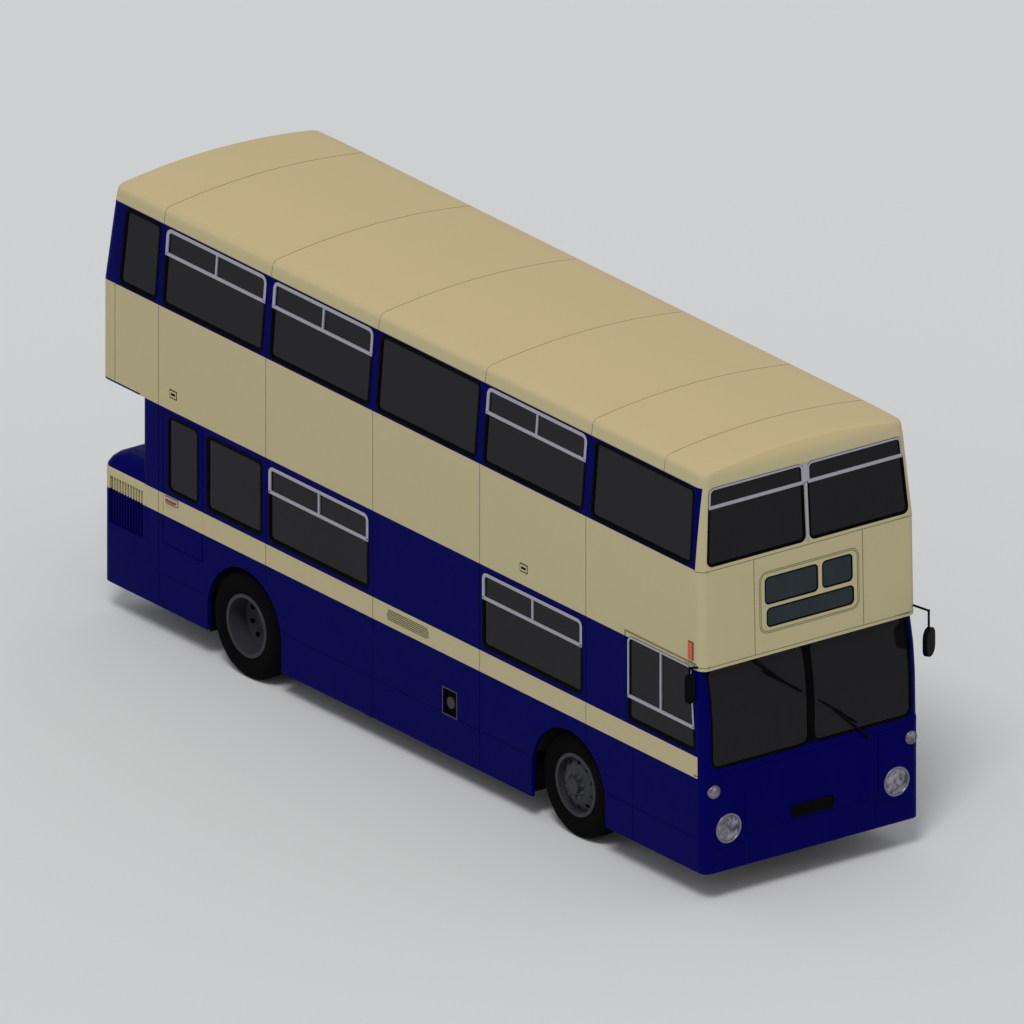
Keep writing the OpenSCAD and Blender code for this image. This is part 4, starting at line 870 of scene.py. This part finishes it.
blind_glass, tree, coat, place = new_finish("blind_glass", (34, 44, 48), 0.12)
coat["Specular IOR Level"].default_value = 0.15
under_film(tree, coat, place, paint_code((34, 44, 48)), (58, 62, 62), 3.2, 0.25, 0.1, ["Base Color"])
panes, edging = bmesh.new(), bmesh.new()
blind_rubber = [(-0.009, -0.005), (-0.009, 0.001), (-0.006, 0.0035), (0.002, 0.0035), (0.004, 0.001),
                (0.004, -0.001)]
faced = Vector((1, 0, 0.03))
for blind in blinds:
    pierced_plate(panes, blind, [], lambda y, z: front_at(y, z, -0.0060), Vector((-0.0025, 0, 0)))
    swept(edging, [front_at(y, z, -0.0005) for y, z in blind], faced, blind_rubber, True)
into_piece("blind_panes", panes, [blind_glass], "body", sharp=60)
into_piece("blind_rubbers", edging, [rubber], "body", sharp=50)

lines = bmesh.new()


def front_line(points, table=upper_lean, closed=False):
    path = [front_at(y, z, 0.0, table) for y, z in points]
    swept(lines, path, faced, strip, closed)


for grow in (-0.004, 0.012):
    front_line(round_cornered(-0.5575 - grow, 0.5705 + grow, 2.5485 - grow, 3.1315 + grow, 0.078 + grow),
               closed=True)
for y in (-0.63, 0.63):
    front_line([(y, z) for z in (2.35, 2.8, 3.296)])
for y in (-0.78, 0.76):
    front_line([(y, 0.535), (y, 1.255)], front_lean)
for a, b in ((-1.13, -0.79), (0.77, 1.13)):
    front_line([(a, 0.53), (b, 0.53)], front_lean)


def belt(z, reach):
    """A level joint round the front and both corners, back to reach behind the front panel."""
    corner_x, corner_y = front_x - 0.16, half_w - 0.09
    starts, ways = [], []

    def aim(start, way):
        starts.append(start)
        ways.append(way)

    def around(side, angles):
        for a in angles:
            way = Vector((math.sin(a), side * math.cos(a), 0))
            aim(Vector((corner_x, side * corner_y, z)) + way * 2, -way)

    aim(Vector((front_x - reach, -3, z)), Vector((0, 1, 0)))
    aim(Vector((corner_x, -3, z)), Vector((0, 1, 0)))
    around(-1, [math.radians(90 * k / 8) for k in range(9)])
    for k in range(13):
        aim(Vector((front_x + 2, corner_y * (k / 6 - 1), z)), Vector((-1, 0, 0)))
    around(1, [math.radians(90 - 90 * k / 8) for k in range(9)])
    aim(Vector((corner_x, 3, z)), Vector((0, -1, 0)))
    aim(Vector((front_x - reach, 3, z)), Vector((0, -1, 0)))
    laid(lines, starts, ways, depth=0.3)


for z, reach in ((3.302, 0.153), (2.352, 0.30), (1.262, 0.12)):
    belt(z, reach)
into_piece("front_joints", lines, [seam_paint], "body", sharp=50)

# ------------------------------------------------------------------ lamps
# Sealed-beam headlamps and small side lamps behind fluted glass in pressed chrome bezels,
# moulded amber and red lenses elsewhere, each of these on a rubber seat.

chrome = worn_finish("bezel_chrome", (132, 130, 138), (80, 76, 72), 1.2, 0.2, 0.26, 200, 0.0001, metal=0.75)
lens_glass, tree, coat, place = new_finish("fluted_lens", (110, 108, 116), 0.22, 0.3)
blotch = effect(tree, grain, Place=place, Scale=15.0, Depth=1.0)["Tone"]
contrast = put(tree, "ShaderNodeMapRange", {"Value": blotch, "From Min": 0.36, "From Max": 0.64})[0]
feed(tree, coat, {"Base Color": mixed(tree, contrast, paint_code((62, 60, 66)), paint_code((150, 148, 160)))})
roughen(tree, coat, place, 90, 0.0009)


def lens_finish(name, dark, pale):
    """Moulded plastic with a prism pattern on its back."""
    made, tree, coat, place = new_finish(name, dark, 0.2)
    prisms = put(tree, "ShaderNodeTexVoronoi", {"Vector": place, "Scale": 110, "Randomness": 0})["Distance"]
    feed(tree, coat, {"Base Color": mixed(tree, prisms, paint_code(pale), paint_code(dark))})
    bumped(tree, coat, prisms, 0.002)
    return made


amber = lens_finish("amber_lens", (170, 62, 16), (214, 96, 34))
red_lens = lens_finish("red_lens", (96, 8, 8), (150, 22, 18))
clear_lens = lens_finish("clear_lens", (120, 118, 118), (176, 174, 172))


def round_lamp(made, y, z, r, n=72):
    """A bezel and its domed, fluted lens, turned about a line along the bus."""
    bezel = [(0.80, -0.040), (1.0, -0.040), (1.0, 0.0045), (0.985, 0.0085), (0.955, 0.0112), (0.915, 0.0118),
             (0.880, 0.0100), (0.862, 0.0070), (0.855, 0.0030), (0.850, -0.0100), (0.80, -0.020)]
    dome = [(0.852, -0.006), (0.852, 0.0022), (0.80, 0.0050), (0.65, 0.0078), (0.45, 0.0098), (0.22, 0.0110),
            (0.0, 0.0114)]
    for section, finish in ((bezel, 0), (dome, 1)):
        rings = []
        for a in [2 * math.pi * i / n for i in range(n)]:
            ring = []
            for s, h in section:
                across, up = s * r * math.sin(a), s * r * math.cos(a)
                if finish and 0.1 < s < 0.84:
                    h += 0.0011 * math.cos(across / 0.0048)
                ring.append(made.verts.new((front_x + h, y + across, z + up)))
            rings.append(ring)
        fresh = skinned(made, rings, closed=not finish)
        if finish:
            fresh.append(made.faces.new([ring[0] for ring in rings]))
        for f in fresh:
            f.material_index = finish
    bmesh.ops.remove_doubles(made, verts=made.verts, dist=1e-6)
    bmesh.ops.recalc_face_normals(made, faces=made.faces)


def stepped_box(made, x0, x1, side, z0, z1, steps):
    """Plates one over another on a side: how far each is drawn in, how proud it stands, its finish."""
    for in_x, in_z, proud, finish in steps:
        ya, yb = sorted((side * (half_w - 0.0005), side * (half_w + proud)))
        cast_box(made, x0 + in_x, x1 - in_x, ya, yb, z0 + in_z, z1 - in_z, finish)


lamps, tails, flasher = bmesh.new(), bmesh.new(), bmesh.new()
tail_x = front_x - 9.340
for side in (-1, 1):
    round_lamp(lamps, side * 0.975, 0.720, 0.146)
    round_lamp(lamps, side * 1.1425, 1.120, 0.066)
    ya, yb = sorted((side * 1.050, side * 1.105))
    cast_box(tails, tail_x - 0.006, tail_x + 0.01, ya, yb, 0.950, 1.270)
    for k, finish in enumerate((3, 1, 1, 2)):
        z = 0.956 + 0.0785 * k
        cast_box(tails, tail_x - 0.0118, tail_x - 0.004, ya + 0.005, yb - 0.005, z, z + 0.0725, finish)
    stepped_box(flasher, front_x - 0.251, front_x - 0.174, side, 2.405, 2.585,
                ((0.0, 0.0, 0.006, 0), (0.005, 0.005, 0.016, 1)))
piece = into_piece("front_lamps", lamps, [chrome, lens_glass], "body", sharp=28)
tails = into_piece("rear_lamps", tails, [rubber, red_lens, amber, clear_lens], "body", 0.0022)
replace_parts(tails, "lamps")
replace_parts(piece, "lamps")
into_piece("corner_indicators", flasher, [rubber, amber], "body", 0.004)

# ------------------------------------------------------------------ vents, filler and mouldings
# Small pressings let into the panels: three-slot air inlets between the decks, a perforated
# heater outlet in the waist band, and the angle round the fuel filler recess.

# Near-black painted shade: the vent slots and the heater outlet's holes are drawn as dark plates and discs,
# not cut, and the filler recess gets a dark tray.
painted_recess_shade = worn_finish("painted_recess_shade", (3, 3, 3), (12, 11, 10), 1.0, 0.06, 0.8, 200, 0.0002, sheen=0.03)
edge_metal = worn_finish("edge_metal", (78, 68, 34), (60, 52, 30), 1.6, 0.3, 0.5, 300, 0.0003, 0.1, 0.2)
vents = bmesh.new()
for side in (-1, 1):
    for d0, d1 in ((8.170, 8.280), (2.742, 2.861)):
        # The near-black plates in each inlet are painted shade standing for its slots.
        stepped_box(vents, front_x - d1, front_x - d0, side, 2.445, 2.530,
                    ((0.0, 0.0, 0.0030, 1), (0.007, 0.010, 0.0040, 0), (0.021, 0.030, 0.0046, 1)))
into_piece("deck_vents", vents, [coach_paint, painted_recess_shade], "body", 0.0010)

outlet = bmesh.new()
ring = round_cornered(front_x - 4.925, front_x - 4.262, 1.294, 1.421, 0.058)
holes, faces = [], []
for side in (-1, 1):
    pierced_plate(outlet, ring, [], lambda x, z: Vector((x, side * 1.2520, z)),
                  Vector((0, -side * 0.0035, 0)))
    for row in range(6):
        inset = 0.0075 * max(0, abs(row - 2.5) - 0.5) ** 1.6
        for k in range(36):
            x = front_x - 4.914 + 0.0185 * k + 0.0092 * (row % 2)
            if front_x - 4.919 + inset < x < front_x - 4.268 - inset:
                holes.append(Vector((x, side * 1.2521, 1.3100 + 0.0190 * row)))
                faces.append(Vector((0, side, 0)))
into_piece("heater_outlet", outlet, [coach_paint], "body", 0.0010, 60)
# The perforations are flat near-black discs: painted shade where the holes would be.
grown("heater_perforation_shade", heads, holes, faces, "body", "black_trim",
      Radius=0.0070, Crown=0.0068, Height=0.0008, Sides=10, Finish=painted_recess_shade)


# The filler recess has a near-black tray behind it, painted shade in the recess, and an angle screwed round
# its edge.
def filler_outline(grow):
    """The recess's corners, moved outwards by grow."""
    x0, x1, z0, z1 = front_x - 4.051 - grow, front_x - 3.845 + grow, 0.650 - grow, 0.900 + grow
    return [(x0, z0), (x1, z0), (x1, z1), (x0, z1)]


edging, tray = bmesh.new(), bmesh.new()
cap = [(front_x - 3.948 + x, 0.771 + z) for x, z in pipe_section(0.062, 40)]
pierced_plate(edging, filler_outline(0.012), [filler_outline(0)], lambda x, z: Vector((x, -1.2520, z)),
              Vector((0, 0.0024, 0)))
into_piece("filler_edging", edging, [edge_metal], "body", 0.0006, 60)
pierced_plate(tray, filler_outline(-0.001), [cap], lambda x, z: Vector((x, -1.2290, z)),
              Vector((0, 0.002, 0)))
into_piece("filler_tray", tray, [painted_recess_shade], "body", sharp=60)

moulding = bmesh.new()
for side in (-1, 1):
    for half, run in ((0.010, [(1.10 * k / 12, 0.0) for k in range(13)]),
                      (0.008, [(0.0, -0.055 * k / 4) for k in range(5)])):
        laid(moulding, [Vector((front_x - 1.234 + x, side * 3, 2.375 + z)) for x, z in run],
             Vector((0, -side, 0)),
             [(-half, -0.001), (0.002 - half, 0.0035), (half - 0.002, 0.0035), (half, -0.001)])
into_piece("cab_mouldings", moulding, [seam_paint], "body", sharp=50)

# ------------------------------------------------------------------ wipers, mirrors and plates
# Pantograph wiper arms in black-enamelled steel, moulded mirror housings on steel tube arms,
# and blank number plates.

black_plastic = worn_finish("moulded_black", (4, 4, 4), (20, 19, 18), 2.4, 0.08, 0.6, 420, 0.0004, sheen=0.06)
blank_plate = worn_finish("blank_plate", (2, 2, 2), (14, 13, 12), 1.0, 0.08, 0.5, 300, 0.0002, sheen=0.04)
mirror_glass, tree, coat, place = new_finish("mirror_glass", (150, 152, 156), 0.05, 0.95)
under_film(tree, coat, place, paint_code((150, 152, 156)), (110, 108, 104), 3.0, 0.2, 0.04, ["Roughness"])
for node, finish, edge in (("wipers", black_plastic, 0.0025), ("number_plates", blank_plate, 0.003),
                           ("mirrors", black_plastic, 0.006)):
    eased(node, "body", finish, edge)
ahead = Vector((1, 0, 0))
blades = bmesh.new()
blade_section = [(-0.002, -0.011), (-0.008, -0.004), (-0.008, 0.0065), (0.008, 0.0065), (0.008, -0.004),
                 (0.002, -0.011)]
clip_section = [(-0.011, 0.002), (-0.011, 0.009), (0.011, 0.009), (0.011, 0.002)]
for start, end in (((0.002, 0.120, 1.720), (0.008, 0.500, 1.430)),
                   ((-0.050, -0.502, 2.152), (-0.020, -0.118, 1.879))):
    a, b = (Vector((front_x + x, y, z)) for x, y, z in (start, end))
    along = (b - a).normalized()
    swept(blades, [a - along * 0.012, b + along * 0.012], ahead, blade_section, False)
    for share in (0.16, 0.5, 0.84):
        middle = a.lerp(b, share)
        swept(blades, [middle - along * 0.022, middle + along * 0.022], ahead, clip_section, False)
into_piece("wiper_blades", blades, [rubber], "body", 0.001, 30)
faces = bmesh.new()
for side, yaw, before, z, w, h, t in ((1, 31, 0.120, 2.085, 0.200, 0.280, 0.050),
                                      (-1, 20, -0.1585, 2.142, 0.096, 0.290, 0.036)):
    turn = Matrix.Rotation(math.radians(side * yaw), 3, "Z")
    reach = w / 2 * math.cos(math.radians(yaw)) + t / 2 * math.sin(math.radians(yaw))
    centre = Vector((front_x + before, side * (half_w + 0.110 - reach), z))
    outline = round_cornered(0.008 - w / 2, w / 2 - 0.008, 0.008 - h / 2, h / 2 - 0.008, w * 0.4)
    pierced_plate(faces, outline, [], lambda y, up: centre + turn @ Vector((-t / 2 - 0.0012, y, up)),
                  turn @ Vector((0.003, 0, 0)))
into_piece("mirror_faces", faces, [mirror_glass], "body", 0.0008, 60)
trims = bmesh.new()
for x, way, z in ((front_x + 0.012, 1, 0.7045), (front_x - 9.352, -1, 0.4785)):
    ring = [Vector((x, y, z + h)) for y, h in round_cornered(-0.2425, 0.2425, -0.0585, 0.0585, 0.008, 2)]
    swept(trims, ring[::way], ahead * way,
          [(-0.006, -0.006), (-0.006, 0.0012), (0.0008, 0.0012), (0.0008, -0.010)], True)
into_piece("plate_surrounds", trims, [black_plastic], "body", sharp=40)

# ------------------------------------------------------------------ engine bonnet fittings
# Two banks of louvres, pressed out of the skin and painted with it, let the engine breathe. Below
# them are a bent lift handle and two budget locks, chromed and screwed on.

louvre, taken, given = new_group(
    "pressed_louvres", "Geometry", {"Places": "Geometry", "Width": "Float", "Height": "Float",
                                    "Proud": "Float", "Finish": "Material"}, {"Louvres": "Geometry"})
size = put(louvre, "ShaderNodeCombineXYZ", {"X": taken["Proud"], "Y": taken["Width"], "Z": taken["Height"]})
blade = put(louvre, "GeometryNodeMeshCube", {"Size": size[0]})
tip = put(louvre, "GeometryNodeTransform", {"Geometry": blade["Mesh"], "Rotation": (0, math.radians(24), 0)})
set_out(louvre, taken, given["Louvres"], tip[0])
places = [Vector((front_x - 9.3385, y, 0.68 + 0.048 * k)) for y in (-0.52, 0.52) for k in range(11)]
grown("bonnet_louvres", louvre, places, -ahead, "engine_bonnet", "blue_paint",
      Width=0.62, Height=0.030, Proud=0.010, Finish=coach_paint)
catches = bmesh.new()
for y in (-0.86, 0.86):
    cast_box(catches, front_x - 9.350, front_x - 9.338, y - 0.028, y + 0.028, 0.62, 0.66)
    cast_box(catches, front_x - 9.356, front_x - 9.348, y - 0.006, y + 0.006, 0.615, 0.665)
handle = [Vector((front_x - d, y, 0.625))
          for d, y in ((9.338, -0.11), (9.356, -0.10), (9.356, 0.10), (9.338, 0.11))]
swept(catches, handle, Vector((-1, 0, 0.01)), pipe_section(0.008, 8), False)
into_piece("bonnet_catches", catches, [chrome], "engine_bonnet", 0.0015)

# ------------------------------------------------------------------ seats
# Bench seats of foam on ply under a woven moquette cover, edges piped in leathercloth, on
# a bent tube frame with a pressed pedestal bolted down to the floor.

moquette, tree, coat, place = new_finish("moquette", (44, 50, 92), 0.92)
weave = put(tree, "ShaderNodeTexBrick", {
    "Vector": place, "Scale": 26, "Color1": paint_code((38, 46, 96)), "Color2": paint_code((86, 44, 50)),
    "Mortar": paint_code((22, 24, 44))})["Color"]
under_film(tree, coat, place, weave, (92, 88, 84), 1.4, 0.3, 0.92, ["Base Color"])
roughen(tree, coat, place, 700, 0.0012)
hide = worn_finish("leathercloth", (26, 26, 30), (70, 66, 60), 2.2, 0.2, 0.6, 260, 0.0004, sheen=0.3)
seat_frame = worn_finish("seat_frame", (54, 56, 60), (90, 84, 76), 2.0, 0.25, 0.5, 180, 0.0003, metal=0.4)
pipe_round = pipe_section(0.0045, 6)
tube_round = pipe_section(0.011, 8)

unit = bmesh.new()
bmesh.ops.create_cube(unit, size=2)
bmesh.ops.subdivide_edges(unit, edges=unit.edges[:], cuts=9, use_grid_fill=True)
unit.verts.index_update()
pad_places = [tuple(v.co) for v in unit.verts]
pad_faces = [[v.index for v in face.verts] for face in unit.faces]
unit.free()


def cushion(made, corner, along, across, up):
    """A stuffed pad between a corner and three edges: flat below, crowned above, its sides
    drawn in between full corners, with a cord sewn round the top edge."""

    def spot(u, v, w):
        """From -1 to 1 each way."""
        soft = 1 - 0.040 * abs(w) ** 5
        drawn_u = u * (soft - 0.035 * (1 - v * v) * abs(u))
        drawn_v = v * (soft - 0.035 * (1 - u * u) * abs(v))
        crown = 0.76 + 0.24 * (1 - u ** 4) * (1 - v ** 4) if w > 0 else 1
        return corner + along * (drawn_u + 1) / 2 + across * (drawn_v + 1) / 2 + up * (w * crown + 1) / 2

    verts = [made.verts.new(spot(*place)) for place in pad_places]
    for ring in pad_faces:
        made.faces.new([verts[i] for i in ring])
    path = [(u0 + (u1 - u0) * k / 8, v0 + (v1 - v0) * k / 8) for u0, v0, u1, v1 in
            ((-1, -1, 1, -1), (1, -1, 1, 1), (1, 1, -1, 1), (-1, 1, -1, -1)) for k in range(8)]
    start = len(made.faces)
    swept(made, [spot(u, v, 0.95) for u, v in path], up.normalized(), pipe_round, True)
    made.faces.ensure_lookup_table()
    for face in made.faces[start:]:
        face.material_index = 1


def seat(pads, frames, d, y, width, z, places=2):
    """One seat facing forward: d is its front edge behind the front panel, y its middle."""
    x, each, edge = front_x - d, width / places, width / 2
    across = Vector((0, each - 0.008, 0))
    for k in range(places):
        ya = y - edge + each * k + 0.004
        cushion(pads, Vector((x - 0.425, ya, z + 0.323)), Vector((0.420, 0, 0)), across,
                Vector((0, 0, 0.106)))
        cushion(pads, Vector((x - 0.455, ya, z + 0.434)), Vector((-0.052, 0, 0.535)), across,
                Vector((0.068, 0, 0.0135)))
    cast_box(frames, x - 0.380, x - 0.060, y - 0.040, y + 0.040, z, z + 0.318)
    cast_box(frames, x - 0.400, x - 0.040, y - edge + 0.03, y + edge - 0.03, z + 0.312, z + 0.324)
    for side in (-1, 1):
        leg = [Vector((x - back, y + side * (edge - 0.014), z + up))
               for back, up in ((0.380, 0.330), (0.440, 0.340), (0.505, 0.966))]
        swept(frames, leg, Vector((0, side, 0)), tube_round, False)
    top_rail = [Vector((x - 0.498, y + side * (edge - 0.014), z + 0.969)) for side in (-1, 1)]
    swept(frames, top_rail, Vector((0, 0, 1)), tube_round, False)


pitch, near_y = 0.760, 0.755
for deck, z, rows in (
        ("lower", 0.660, [(2.8589 + pitch * i, near_y) for i in range(4)] + [(7.860, near_y)]
         + [(d, -near_y) for d in (2.7889, 5.207, 5.967)]),
        ("upper", 2.540, [(0.560 + pitch * i, near_y) for i in range(11)]
         + [(0.560 + pitch * i, -near_y) for i in (0, 1, 2, 3, 6, 7, 8, 9, 10)])):
    pads, frames = bmesh.new(), bmesh.new()
    for d, y in rows:
        seat(pads, frames, d, y, 0.860, z)
    if deck == "lower":
        seat(pads, frames, 0.750, -0.750, 0.480, 0.720, 1)
        cast_box(frames, front_x - 1.130, front_x - 0.790, -0.850, -0.650, 0.660, 0.7197)
        for y in (-1.160, 0.740):
            for k in range(3):
                cushion(pads, Vector((front_x - 7.710 + 0.3907 * k, y, 1.1425)), Vector((0.3900, 0, 0)),
                        Vector((0, 0.420, 0)), Vector((0, 0, 0.089)))
    piece = into_piece(deck + "_seat_pads", pads, [moquette, hide], "body", sharp=50)
    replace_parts(piece, deck + "_seats")
    frames = into_piece(deck + "_seat_frames", frames, [seat_frame], "body", sharp=40)
    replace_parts(frames, deck + "_seats")

# ------------------------------------------------------------------ cab and rails
# A laminate-faced bulkhead and half screen round the driver, a moulded dashboard with a dial
# cluster, a padded steering wheel in moulded black, and satin metal grab poles from floor to ceiling.

eased("cab_partition", "body", lining, 0.004)
eased("dashboard", "body", black_plastic, 0.010, 30)
eased("handrails", "body", bright, 0.0, 40)
eased("steering_wheel", "steering_wheel", black_plastic, 0.0, 40)
slope = Vector((-0.164, 0, 0.986))
dials = [Vector((front_x - 0.235, -0.90 + 0.075 * k, 1.193)) for k in range(5)]
grown("dashboard_dials", heads, dials, slope, "body", "glass",
      Radius=0.032, Crown=0.030, Height=0.010, Sides=32, Finish=lens_glass)
switches = [Vector((front_x - 0.245, -0.48 - 0.032 * k, 1.192)) for k in range(4)]
grown("dashboard_switches", heads, switches, slope, "body", "black_trim",
      Radius=0.008, Crown=0.006, Height=0.016, Sides=12, Finish=bright)

# ------------------------------------------------------------------ floor and light
# A pale matt studio floor under the wheels, a large soft key light from ahead and above, and
# an even light from all round.

ground, tree, coat, place = new_finish("studio_floor", (221, 221, 219), 0.9)
coat["Base Color"].default_value = (0.72, 0.72, 0.71, 1)
plane = bpy.data.meshes.new("studio_floor")
plane.from_pydata([(-90, -90, 0), (90, -90, 0), (90, 90, 0), (-90, 90, 0)], [], [(0, 1, 2, 3)])
plane.materials.append(ground)
plane = in_scene("studio_floor", plane)

world = bpy.data.worlds.new("studio")
world.use_nodes = True
world.node_tree.nodes["Background"].inputs[0].default_value = (0.80, 0.82, 0.86, 1)
world.node_tree.nodes["Background"].inputs[1].default_value = 0.62
bpy.context.scene.world = world
sun = bpy.data.lights.new("key", "SUN")
sun.energy = 1.35
sun.angle = math.radians(18)
key = in_scene("key", sun)
key.rotation_euler = Vector((0.55, -0.62, 1.25)).to_track_quat("Z", "Y").to_euler()
bpy.context.scene.view_settings.view_transform = "Standard"
